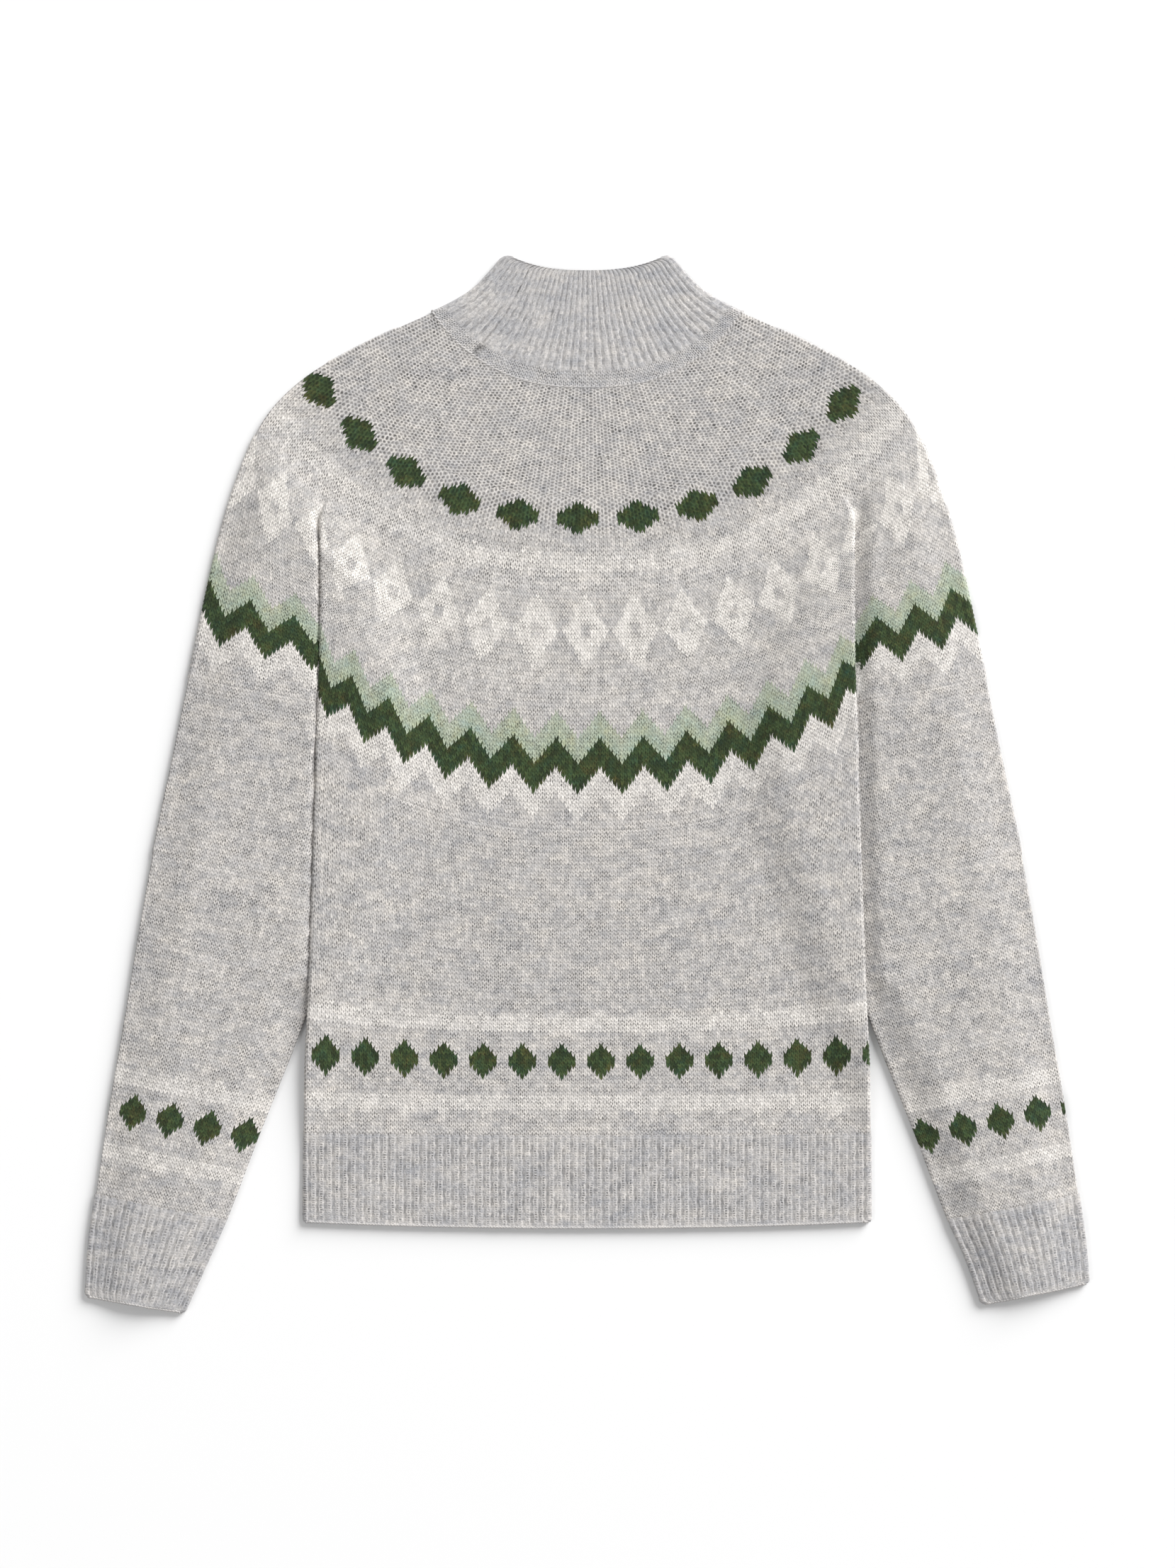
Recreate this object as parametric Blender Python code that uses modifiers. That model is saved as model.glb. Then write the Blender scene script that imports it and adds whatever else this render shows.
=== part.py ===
"""Round-yoke pullover with a ribbed mock neck, laid flat on its front with its sleeves folded down.

Metres, +Z up, +Y towards the collar. The cloth rests on Z = 0 and the origin is under the middle of
the garment. The back is on top. Every piece is a knitted wall: a grid of points through the middle
of the cloth, lofted row by row and given its thickness by Solidify. Layers that lie on each other
are one LAYER apart, counted from 1 on the ground:

    1  front of the yoke, front panel between the sleeves, undersides of the sleeves
    2  back of the yoke and of the body, tops of the sleeves
    3  front panel where it rides on a sleeve, returning ply of the pleat
    4  back panel where it rides on a sleeve, upper ply of the pleat
"""

import math
from collections import namedtuple

import bpy
from mathutils import Vector

NAME = "nordic_yoke_sweater"

# Cloth
WALL = 0.0020
LAYER_GAP = 0.0006
SEAM_GAP = 0.0003
PLEAT_EASE = 0.0015          # how far pieces stand back from the yoke where its pleat folds over
LAYER = WALL + LAYER_GAP
FOLD_RADIUS = LAYER / 2
EDGE = FOLD_RADIUS + WALL / 2

# How the body rides over the sleeves
RAMP = 0.040
CLEARANCE = 0.004

# Shape of a course of knitting: it rises from the middle of the body towards the sleeves.
BOW = 2.6
FRONT_BOW = 2.2
FOLD_SHARE = 0.78
PLEAT_SLOPE = 0.57
CORNER_SLOPE = 0.35          # the back panel's corner stands a little clear of the pleat
SLEEVE_SLOPE = 0.14
FLAT_PLEAT_STEP = 0.0005

# Loft density: shares of the way from the middle to the pleat's valley, and along a sleeve's width
INNER_SHARES = (0.0, 0.15, 0.30, 0.45, 0.58, 0.69, 0.79, 0.89, 1.0)
SLEEVE_SHARES = (0.0, 0.2, 0.4, 0.6, 0.8, 1.0)
FOLD_STEPS = 4
RETURN_STEPS = 3
PANEL_DROPS = (0.0, 0.11, 0.23, 0.36, 0.49, 0.62, 0.75, 0.88, 1.0)
RIB_DROPS = (0.0, 0.5, 1.0)

# Courses round the neck, from the collar's top edge to the lower edge of the yoke. fold_rise is how
# far the course has risen at the crease, turn and depth are those of the pleat over each sleeve.
Course = namedtuple("Course", "centre_y fold_rise half_width edge_y turn depth front_y")
COLLAR_COURSES = (
    Course(0.3620, 0.0066, 0.0590, 0.3738, 0, 0, 0.3570),
    Course(0.3414, 0.0106, 0.0700, 0.3608, 0, 0, 0.3290),
    Course(0.3209, 0.0152, 0.0815, 0.3493, 0, 0, 0.3010),
    Course(0.3003, 0.0205, 0.0952, 0.3408, 0, 0, 0.2730),
)
YOKE_COURSES = (
    Course(0.2798, 0.0263, 0.1095, 0.3338, 0, 0, 0.2450),
    Course(0.2485, 0.0357, 0.1400, 0.3201, 0, 0, 0.2172),
    Course(0.2172, 0.0450, 0.1701, 0.3052, 0, 0, 0.1893),
    Course(0.1859, 0.0536, 0.1989, 0.2882, 0, 0, 0.1615),
    Course(0.1546, 0.0582, 0.2231, 0.2656, 0, 0, 0.1337),
    Course(0.1327, 0.0608, 0.2355, 0.2458, 60, 0.001, 0.1142),
    Course(0.1098, 0.0625, 0.2451, 0.2233, 120, 0.001, 0.0938),
    Course(0.0888, 0.0630, 0.2525, 0.2021, 180, 0.004, 0.0752),
    Course(0.0607, 0.0615, 0.2609, 0.1732, 180, 0.013, 0.0502),
    Course(0.0294, 0.0600, 0.2685, 0.1406, 180, 0.022, 0.0223),
    Course(-0.0020, 0.0585, 0.2756, 0.1078, 180, 0.031, -0.0055),
    Course(-0.0333, 0.0570, 0.2824, 0.0750, 180, 0.040, -0.0333),
)

# Half width of the body where its sides are folded, the visible crease over the sleeves
BodySide = namedtuple("BodySide", "y half_width")
BODY_SIDES = (
    BodySide(0.1778, 0.1890),
    BodySide(0.1028, 0.1890),
    BodySide(0.0278, 0.1914),
    BodySide(-0.0472, 0.1935),
    BodySide(-0.1472, 0.1970),
    BodySide(-0.2072, 0.1997),
    BodySide(-0.3138, 0.2012),
)

# Sleeve from below the yoke to the cuff, then the cuff's middle and its lower edge on each side
SleeveRow = namedtuple("SleeveRow", "outer_x outer_y inner_x inner_y")
SLEEVE_ROWS = (
    SleeveRow(0.2952, 0.0128, 0.1536, -0.0180),
    SleeveRow(0.3080, -0.0472, 0.1689, -0.0770),
    SleeveRow(0.3190, -0.1072, 0.1870, -0.1355),
    SleeveRow(0.3288, -0.1672, 0.2085, -0.1925),
    SleeveRow(0.3392, -0.2272, 0.2310, -0.2492),
    SleeveRow(0.3485, -0.2892, 0.2535, -0.3078),
)
CUFF_MIDDLE = SleeveRow(0.3535, -0.3260, 0.2670, -0.3380)
CUFF_END_LEFT = SleeveRow(0.3556, -0.3614, 0.2832, -0.3736)
CUFF_END_RIGHT = SleeveRow(0.3556, -0.3520, 0.2775, -0.3678)

# Lower edges of the body and of its rib: height at the middle, and how much higher the sides are
BODY_END_Y = -0.2483
BODY_END_RISE = 0.0015
HEM_END_Y = -0.3138
HEM_END_RISE = 0.0045

# Finish of each yarn zone: sRGB red, green, blue
PALE_GREY = (0.757, 0.741, 0.729)
RIB_GREY = (0.725, 0.710, 0.702)
YARN_ROUGHNESS = 0.95


def layer(number):
    """Height of the middle of a layer of cloth."""
    return WALL / 2 + (number - 1) * LAYER


def smooth(value):
    """0 below 0, 1 above 1, and an even rise between them."""
    value = min(max(value, 0.0), 1.0)
    return value * value * (3.0 - 2.0 * value)


def between(a, b, share):
    return a + (b - a) * share


def read_table(y, rows):
    """Value at y in rows of (y, value) that run downwards."""
    if y >= rows[0][0]:
        return rows[0][1]
    for upper, lower in zip(rows, rows[1:]):
        if y >= lower[0]:
            return between(upper[1], lower[1], (upper[0] - y) / (upper[0] - lower[0]))
    return rows[-1][1]


def body_half(y):
    return read_table(y, BODY_SIDES)


def body_shares():
    """Columns of the body as shares of its half width, with one at the valley of the pleat."""
    lowest = YOKE_COURSES[-1]
    fold_x = body_half(lowest.centre_y + lowest.fold_rise) - EDGE
    valley = (fold_x - lowest.depth) / fold_x
    inner = [share * valley for share in INNER_SHARES]
    return inner + [between(valley, 1.0, k / RETURN_STEPS) for k in range(1, RETURN_STEPS + 1)]


def pleat_path(turn, depth):
    """Steps (sideways, down, along) of the S-shaped pleat, from its crease to its valley."""
    steps = 2 * FOLD_STEPS + RETURN_STEPS
    if turn == 0:
        return [(k * FLAT_PLEAT_STEP, 0.0, k * FLAT_PLEAT_STEP) for k in range(steps + 1)]
    full = math.radians(turn)
    path = []
    for k in range(FOLD_STEPS + 1):
        angle = full * k / FOLD_STEPS
        path.append((FOLD_RADIUS * math.sin(angle), FOLD_RADIUS * (1 - math.cos(angle)),
                     FOLD_RADIUS * angle))
    side, down, along = path[-1]
    for k in range(1, RETURN_STEPS + 1):
        run = depth * k / RETURN_STEPS
        path.append((side + run * math.cos(full), down + run * math.sin(full), along + run))
    side, down, along = path[-1]
    for k in range(1, FOLD_STEPS + 1):
        angle = full * k / FOLD_STEPS
        path.append((side + FOLD_RADIUS * (math.sin(full) - math.sin(full - angle)),
                     down + FOLD_RADIUS * (math.cos(full - angle) - math.cos(full)),
                     along + FOLD_RADIUS * angle))
    return path


def fold_arc(centre, outward, height):
    """Half turn from layer 2 down to layer 1 round a folded edge, without its first point."""
    arc = []
    for k in range(1, FOLD_STEPS + 1):
        angle = math.pi * k / FOLD_STEPS
        reach = FOLD_RADIUS * math.sin(angle)
        arc.append(Vector((centre.x + outward.x * reach, centre.y + outward.y * reach,
                           height + FOLD_RADIUS * math.cos(angle))))
    return arc


def edge_outward(courses, index):
    """Direction in plan that points out of the silhouette at a course's end."""
    before = courses[max(index - 1, 0)]
    after = courses[min(index + 1, len(courses) - 1)]
    run = Vector((after.half_width - before.half_width, after.edge_y - before.edge_y))
    return Vector((-run.y, run.x)).normalized()


def course_fold(course):
    """Where a course meets the crease, and its slopes in plan on the body and along the pleat."""
    y = course.centre_y + course.fold_rise
    x = min(body_half(y) - EDGE, FOLD_SHARE * course.half_width)
    body_slope = BOW * course.fold_rise / x
    return x, y, body_slope, between(body_slope, PLEAT_SLOPE, course.turn / 180.0)


def course_valley(course):
    """Where a course turns outwards again at the bottom of the pleat, under the body."""
    x, y, _, slope = course_fold(course)
    side, _, along = pleat_path(course.turn, course.depth)[-1]
    return x + side, y + slope * along


def inner_fold_line():
    """Rows of (y, x) down the inner folded edge of what lies under the body's side."""
    valleys = [course_valley(course) for course in YOKE_COURSES if course.turn == 180]
    return [(y, x - EDGE) for x, y in valleys] + [(r.inner_y, r.inner_x) for r in SLEEVE_ROWS]


def ride(x, y, rise=2 * LAYER):
    """How much the upper cloth is lifted at x, y by the fold or sleeve under it."""
    full_x = read_table(y, inner_fold_line()) - CLEARANCE
    return rise * smooth((x - full_x + RAMP) / RAMP)


def half_course(course, outward, pleated):
    """Right half of one ring of knitting, as named stretches from the back's middle to the front's."""
    fold_x, fold_y, body_slope, pleat_slope = course_fold(course)
    folded = course.turn / 180.0
    sleeve_slope = between(body_slope, SLEEVE_SLOPE, folded)
    path = pleat_path(course.turn, course.depth) if pleated else [(0.0, 0.0, 0.0)]
    valley_side, drop, path_length = path[-1]
    valley_x = fold_x + valley_side
    valley_y = fold_y + pleat_slope * path_length
    top = layer(2)

    body = []
    for share in BODY_SHARES:
        x = share * fold_x
        y = course.centre_y + course.fold_rise * share ** BOW
        body.append(Vector((x, y, top + ride(x, y, drop))))
    pleat = [Vector((fold_x + side, fold_y + pleat_slope * along, top + drop - down))
             for side, down, along in path]
    end = Vector((course.half_width, course.edge_y)) - outward * EDGE
    reach = end.x - valley_x
    bend = (end.y - valley_y - sleeve_slope * reach) / reach ** 2
    plan = []
    for share in SLEEVE_SHARES:
        run = share * reach
        plan.append(Vector((valley_x + run, valley_y + sleeve_slope * run + bend * run ** 2)))
    sleeve = [Vector((p.x, p.y, top)) for p in plan]
    edge = fold_arc(plan[-1], outward, (layer(1) + layer(2)) / 2)
    under_sleeve = [Vector((p.x, p.y, layer(1))) for p in reversed(plan)]
    under_body = []
    for share in reversed(INNER_SHARES):
        rise = between(share ** FRONT_BOW, smooth(share), folded)
        y = between(course.front_y, valley_y, rise)
        under_body.append(Vector((share * valley_x, y, layer(1))))
    return {"body": body, "pleat": pleat, "sleeve": sleeve, "edge": edge,
            "under_sleeve": under_sleeve, "under_body": under_body}


def whole_ring(half):
    """Closed ring of points from the stretches of its right half."""
    right = (half["body"] + half["pleat"][1:] + half["sleeve"][1:] + half["edge"]
             + half["under_sleeve"][1:] + half["under_body"][1:])
    left = [Vector((-p.x, p.y, p.z)) for p in reversed(right[1:-1])]
    return right + left


def whole_panel(right):
    """Open row of points from side to side, from its right half that starts in the middle."""
    left = [Vector((-p.x, p.y, p.z)) for p in reversed(right[1:])]
    return left + right


def with_seam_gaps(rows, start_gap, end_gap):
    """The rows with the first and last drawn back along the cloth by half of their seam's gap."""
    rows = [list(row) for row in rows]
    rows[0] = [p + (q - p).normalized() * start_gap / 2 for p, q in zip(rows[0], rows[1])]
    rows[-1] = [p + (q - p).normalized() * end_gap / 2 for p, q in zip(rows[-1], rows[-2])]
    return rows


ALL_COURSES = COLLAR_COURSES + YOKE_COURSES
NECK = len(COLLAR_COURSES)
BODY_SHARES = body_shares()


def collar_rows():
    rows = []
    for index in range(NECK + 1):
        half = half_course(ALL_COURSES[index], edge_outward(ALL_COURSES, index), False)
        rows.append(whole_ring(half))
    return with_seam_gaps(rows, 0, SEAM_GAP)


def yoke_halves():
    return [half_course(ALL_COURSES[index], edge_outward(ALL_COURSES, index), True)
            for index in range(NECK, len(ALL_COURSES))]


def end_y(x, y, rise):
    """Height in plan of a lower edge whose sides are a little higher than its middle."""
    return y + rise * (x / BODY_SIDES[-1].half_width) ** 2


# Folded sides of the body, as steps (sideways, down) from the end of the flat of layer 2. The back
# ends above the outermost line of the fold and the front, its mirror image, below it.
SIDE_FOLD = ((0.46, 0.0), (1.0, 0.54), (1.0, 1.0))


def side_fold(x, y, z, is_front, slope=0.0):
    """Points round the body's folded side, from the end of the flat cloth to the side seam.

    x, y, z is where layer 2 would start to fold, and slope is how fast y grows round the fold.
    """
    points = []
    for side, down in SIDE_FOLD:
        depth = min(down * FOLD_RADIUS, FOLD_RADIUS - SEAM_GAP / 2)
        if is_front:
            depth = 2 * FOLD_RADIUS - depth
        points.append(Vector((x + side * FOLD_RADIUS, y + slope * math.pi / 2 * depth, z - depth)))
    return points


def panel_points(starts, end, share, height):
    """Flat part of a row of a body panel, from its middle to the start of the side fold."""
    points = []
    for body_share, start_y in zip(BODY_SHARES, starts):
        target = end_y(body_share * body_half(end[0]), *end)
        y = between(start_y, target, share)
        x = body_share * (body_half(y) - EDGE)
        points.append(Vector((x, y, height + ride(x, y))))
    return points


def back_row(starts, end, share):
    """Right half of a row of the back panel, a share of the way from its seam to its lower edge."""
    points = panel_points(starts, end, share, layer(2))
    last = points[-1]
    return points + side_fold(last.x, last.y, last.z, False)


def front_row(starts, end, share):
    """Right half of a row of the front panel, from its middle to the side fold."""
    points = panel_points(starts, end, share, layer(1))
    last = points[-1]
    top = last.z + 2 * FOLD_RADIUS
    return points + side_fold(last.x, last.y, top, True)


def back_rows(lower):
    starts = [p.y for p in lower["body"]]
    fold = lower["body"][-1]
    seam = lower["body"] + side_fold(fold.x, fold.y, fold.z, False, CORNER_SLOPE)
    end = (BODY_END_Y, BODY_END_RISE)
    rows = [seam] + [back_row(starts, end, share) for share in PANEL_DROPS[1:]]
    return [whole_panel(row) for row in rows]


def front_rows(lower):
    returning = lower["pleat"][FOLD_STEPS:FOLD_STEPS + RETURN_STEPS + 1]
    plan = list(reversed(lower["under_body"]))[:-1] + list(reversed(returning))
    starts = [p.y for p in plan[:-1]] + [lower["body"][-1].y]
    seam = [Vector((p.x, p.y, layer(1) + ride(p.x, p.y))) for p in plan]
    fold = lower["body"][-1]
    seam += side_fold(fold.x, fold.y, fold.z, True, PLEAT_SLOPE)
    end = (BODY_END_Y, BODY_END_RISE)
    rows = [seam] + [front_row(starts, end, share) for share in PANEL_DROPS[1:]]
    return [whole_panel(row) for row in rows]


def rib_rows(make_row):
    """Rows of a hem rib below the body panel whose rows make_row gives."""
    starts = [BODY_END_Y + BODY_END_RISE * share ** 2 for share in BODY_SHARES]
    end = (HEM_END_Y, HEM_END_RISE)
    return [whole_panel(make_row(starts, end, share)) for share in RIB_DROPS]


def sleeve_ring(row, side):
    """Closed ring of a flattened sleeve between its outer and inner folded edges."""
    outer = Vector((row.outer_x * side, row.outer_y))
    inner = Vector((row.inner_x * side, row.inner_y))
    outward = (outer - inner).normalized()
    start = inner + outward * EDGE
    end = outer - outward * EDGE
    plan = [start.lerp(end, share) for share in SLEEVE_SHARES]
    return close_sleeve(plan, outward, outward)


def close_sleeve(plan, outer_outward, inner_inward):
    """Ring over and under the points in plan, folded round at both ends."""
    middle = (layer(1) + layer(2)) / 2
    over = [Vector((p.x, p.y, layer(2))) for p in plan]
    under = [Vector((p.x, p.y, layer(1))) for p in reversed(plan)]
    outer_fold = fold_arc(plan[-1], outer_outward, middle)[:-1]
    inner_fold = list(reversed(fold_arc(plan[0], -inner_inward, middle)[:-1]))
    return over + outer_fold + under + inner_fold


def sleeve_seam_ring(lower, outward, side):
    """Upper ring of a sleeve, on the lower edge of the yoke."""
    plan = [Vector((p.x * side, p.y)) for p in lower["sleeve"]]
    plan[0].y -= PLEAT_EASE
    return close_sleeve(plan, Vector((outward.x * side, outward.y)),
                        Vector((side, SLEEVE_SLOPE)).normalized())


def loft(name, rows, closed, collection, colour):
    """Object whose wall runs through rows of points of equal number."""
    vertices = [point for row in rows for point in row]
    width = len(rows[0])
    faces = []
    for upper in range(len(rows) - 1):
        for column in range(width if closed else width - 1):
            following = (column + 1) % width
            faces.append((upper * width + column, upper * width + following,
                          (upper + 1) * width + following, (upper + 1) * width + column))
    mesh = bpy.data.meshes.new(name)
    mesh.from_pydata(vertices, [], faces)
    mesh.shade_smooth()
    mesh.materials.append(yarn_material(name + "_yarn", colour))
    piece = bpy.data.objects.new(name, mesh)
    collection.objects.link(piece)
    wall = piece.modifiers.new("Wall", 'SOLIDIFY')
    wall.thickness = WALL
    wall.offset = 0.0
    return piece


def yarn_material(name, colour):
    """Matt knitted yarn."""
    material = bpy.data.materials.new(name)
    material.use_nodes = True
    shader = material.node_tree.nodes["Principled BSDF"]
    shader.inputs["Base Color"].default_value = (*[to_linear(c) for c in colour], 1.0)
    shader.inputs["Roughness"].default_value = YARN_ROUGHNESS
    shader.inputs["Metallic"].default_value = 0.0
    return material


def to_linear(value):
    return value / 12.92 if value <= 0.04045 else ((value + 0.055) / 1.055) ** 2.4


def clear_scene():
    for old in list(bpy.data.objects):
        bpy.data.objects.remove(old, do_unlink=True)


def build_sleeve(word, side, lower, outward, cuff_end, collection):
    """A sleeve and its cuff, on one side."""
    rings = [sleeve_seam_ring(lower, outward, side)]
    rings += [sleeve_ring(row, side) for row in SLEEVE_ROWS]
    cuff = [rings[-1], sleeve_ring(CUFF_MIDDLE, side), sleeve_ring(cuff_end, side)]
    loft("sleeve_" + word, with_seam_gaps(rings, SEAM_GAP, SEAM_GAP), True, collection, PALE_GREY)
    loft("cuff_" + word, with_seam_gaps(cuff, SEAM_GAP, 0), True, collection, RIB_GREY)


def main():
    clear_scene()
    collection = bpy.data.collections.new(NAME)
    bpy.context.scene.collection.children.link(collection)

    halves = yoke_halves()
    lower = halves[-1]
    outward = edge_outward(ALL_COURSES, len(ALL_COURSES) - 1)

    loft("collar", collar_rows(), True, collection, RIB_GREY)
    yoke = with_seam_gaps([whole_ring(half) for half in halves], SEAM_GAP, SEAM_GAP)
    loft("yoke", yoke, True, collection, PALE_GREY)

    back = with_seam_gaps(back_rows(lower), 2 * SEAM_GAP, SEAM_GAP)
    loft("back_panel", back, False, collection, PALE_GREY)
    front = with_seam_gaps(front_rows(lower), 2 * PLEAT_EASE, SEAM_GAP)
    loft("front_panel", front, False, collection, PALE_GREY)

    hem_back = with_seam_gaps(rib_rows(back_row), SEAM_GAP, 0)
    loft("hem_back", hem_back, False, collection, RIB_GREY)
    hem_front = with_seam_gaps(rib_rows(front_row), SEAM_GAP, 0)
    loft("hem_front", hem_front, False, collection, RIB_GREY)

    build_sleeve("left", -1, lower, outward, CUFF_END_LEFT, collection)
    build_sleeve("right", 1, lower, outward, CUFF_END_RIGHT, collection)


main()
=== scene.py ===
"""Nordic yoke sweater, laid flat on its front with the sleeves folded down beside the body.

The cloth is knitted round, so every piece is a tube pressed flat: a back layer and a front layer
joined by folded edges. Each tube is worked out course by course from the sizes below, and its outer
face is knitted stitch by stitch. u counts the wales round a tube and v its courses, downwards.
"""

import functools
import math

import bpy
import numpy as np
from bpy.props import FloatProperty, FloatVectorProperty, PointerProperty
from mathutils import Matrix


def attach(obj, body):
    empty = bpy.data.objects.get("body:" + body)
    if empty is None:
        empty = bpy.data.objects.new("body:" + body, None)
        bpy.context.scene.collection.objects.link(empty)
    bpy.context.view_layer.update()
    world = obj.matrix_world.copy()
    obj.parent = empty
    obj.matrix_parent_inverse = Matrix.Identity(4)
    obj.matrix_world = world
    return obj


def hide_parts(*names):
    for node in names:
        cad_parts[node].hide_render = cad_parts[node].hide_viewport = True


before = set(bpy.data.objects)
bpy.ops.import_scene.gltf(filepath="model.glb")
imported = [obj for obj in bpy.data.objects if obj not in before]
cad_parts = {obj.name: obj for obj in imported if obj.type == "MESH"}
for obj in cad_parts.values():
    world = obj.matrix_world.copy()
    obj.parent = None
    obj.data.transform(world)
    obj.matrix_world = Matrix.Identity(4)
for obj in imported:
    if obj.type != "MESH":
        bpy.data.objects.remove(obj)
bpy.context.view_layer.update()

bl_info = {
    "name": "Nordic yoke sweater",
    "version": (1, 0, 0),
    "blender": (4, 5, 0),
    "location": "View3D > Sidebar > Sweater",
    "description": "Knits a round-yoke pullover laid flat, with its floor, lights and camera",
    "category": "Object",
}

MM = 0.001

# ------------------------------------------------------------------------------------------------
# Sizes of the garment as it lies, in metres

WALL = 0.0020                # depth of the knit in the solids
LAYER = 0.0026               # from the middle of one layer of cloth to the next
FOLD_RADIUS = LAYER / 2
EDGE = FOLD_RADIUS + WALL / 2
RAMP = 0.040                 # width over which the body rises onto the sleeve under it
CLEARANCE = 0.004            # how far before the sleeve's folded edge it has risen in full
BOW = 2.6                    # power by which a course bends up towards the crease
UNDER_BOW = 2.2              # the same on the lower layer, above the pleats
WALE_SPREAD = 0.72           # how much wider the wales are for each metre down the yoke
PITCH_Y = 0.0066             # where on the yoke they have the pitch given for them
SPREAD_END = 0.077           # where on the yoke its wales stop spreading as a fan
SPREAD_FADE = 0.040          # length over which they go over to their own pitch below that
CORNER = 5.5 * MM            # radius of the collar's top corners
CORNER_FALL = 0.25           # how far they fall for each metre that they are cut back
CUFF_CORNER = 3.5 * MM
HEM_CORNER = 2.5 * MM
CURVE_FADE = 1.8             # how soon the body's courses straighten below the yoke
SIDE_SHARE = 0.15            # share of the way down by which its sides leave the yoke's crease
GATHERED = 0.05              # share by which its wales are drawn together at the yoke
GATHERED_SHARE = 0.75        # share of the way down by which they are no more
FOLD_SHARE = 0.78            # share of a course's half width its crease lies at, on the shoulders
PLEAT_SLOPE = 0.57           # of the courses along a full pleat
SLEEVE_SLOPE = 0.14          # of the courses where they come out of it on the sleeve
LAST_FLAT_TURN = 2.0         # degrees of pleat left where the yoke lies flat
LAST_FLAT_DEPTH = 0.0004

# How the sleeves stand up between their edges. The left one (-1) rises steeply beside the body's
# edge, and the right one (1) gently.
CREASE_STEEP = {-1: 1.05, 1: 0.0}       # share of the loft reached at once
CREASE_WIDTH = {-1: 0.028, 1: 0.014}    # distance over which it reaches the rest
CREASE_FROM = 2.2 * MM       # how far under the body's edge the steep part starts
CREASE_RUN = 4.2 * MM        # and over what distance it rises
LOFT_TURN = 2 / 3            # share of the pleat's full turn from which the loft is in full
LOFT_EDGE = 0.034            # distance from the outer edge over which a sleeve rises
PLEAT_EDGE = 0.007           # and from an inner edge that lies under the body
FREE_EDGE = 0.030            # and from an inner edge that doesn't
TUCKED = 0.010               # how far it lies under the body where it counts as wholly under
SWELL_EDGE = 0.008           # distance from the outer edge where the swell is at its full height

# Points in which rings are worked out, from the middle outwards
BODY_POINTS, SLEEVE_POINTS, UNDER_POINTS, PANEL_POINTS = 61, 33, 41, 75
FOLD_POINTS, RETURN_POINTS, EDGE_POINTS = 9, 7, 11

# Courses of the neck and yoke: centre_y, fold_rise, half_width, edge_y, turn, depth, front_y
COURSES = np.array((
    (0.3620, 0.0066, 0.0590, 0.3738, 0, 0, 0.3570),
    (0.3414, 0.0106, 0.0700, 0.3608, 0, 0, 0.3290),
    (0.3209, 0.0152, 0.0815, 0.3493, 0, 0, 0.3010),
    (0.3003, 0.0205, 0.0952, 0.3408, 0, 0, 0.2730),
    (0.2798, 0.0263, 0.1095, 0.3338, 0, 0, 0.2450),
    (0.2485, 0.0357, 0.1400, 0.3201, 0, 0, 0.2172),
    (0.2172, 0.0450, 0.1701, 0.3052, 0, 0, 0.1893),
    (0.1859, 0.0536, 0.1989, 0.2882, 0, 0, 0.1615),
    (0.1546, 0.0582, 0.2231, 0.2656, 0, 0, 0.1337),
    (0.1327, 0.0608, 0.2355, 0.2458, 60, 0.001, 0.1142),
    (0.1098, 0.0625, 0.2451, 0.2233, 120, 0.001, 0.0938),
    (0.0888, 0.0630, 0.2525, 0.2021, 180, 0.004, 0.0752),
    (0.0607, 0.0615, 0.2609, 0.1732, 180, 0.013, 0.0502),
    (0.0294, 0.0600, 0.2685, 0.1406, 180, 0.022, 0.0223),
    (-0.0020, 0.0585, 0.2756, 0.1078, 180, 0.031, -0.0055),
    (-0.0333, 0.0570, 0.2824, 0.0750, 180, 0.040, -0.0333),
))
COLLAR_TOP_Y, YOKE_END_Y = COURSES[0, 0], COURSES[-1, 0]

# Half width of the body: y, half_width
BODY_SIDES = np.array((
    (0.1778, 0.1890), (0.1028, 0.1890), (0.0278, 0.1914), (-0.0472, 0.1935),
    (-0.1472, 0.1970), (-0.2072, 0.1997), (-0.3138, 0.2012),
))
BODY_END_Y, BODY_END_RISE = -0.2483, 0.0015
HEM_END_Y, HEM_END_RISE = -0.3138, 0.0045

# Sleeve and cuff: outer_x, outer_y, inner_x, inner_y
SLEEVE_ROWS = np.array((
    (0.2952, 0.0128, 0.1536, -0.0180),
    (0.3080, -0.0472, 0.1689, -0.0770),
    (0.3190, -0.1072, 0.1870, -0.1355),
    (0.3288, -0.1672, 0.2085, -0.1925),
    (0.3392, -0.2272, 0.2310, -0.2492),
    (0.3485, -0.2892, 0.2535, -0.3078),
))
CUFF_MIDDLE = (0.3535, -0.3260, 0.2670, -0.3380)
CUFF_END = {-1: (0.3556, -0.3614, 0.2832, -0.3736), 1: (0.3556, -0.3520, 0.2775, -0.3678)}


# ------------------------------------------------------------------------------------------------
# Small tools

def cloth():
    """The settings of the cloth."""
    return bpy.context.scene.sweater_cloth


def put(name, data):
    """A new object in the scene."""
    thing = bpy.data.objects.new(name, data)
    bpy.context.scene.collection.objects.link(thing)
    return thing


def smooth(value):
    """0 up to 0, 1 from 1 on, and a soft S between."""
    value = np.clip(value, 0.0, 1.0)
    return value * value * (3.0 - 2.0 * value)


def between(a, b, share):
    return a + (b - a) * share


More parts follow.
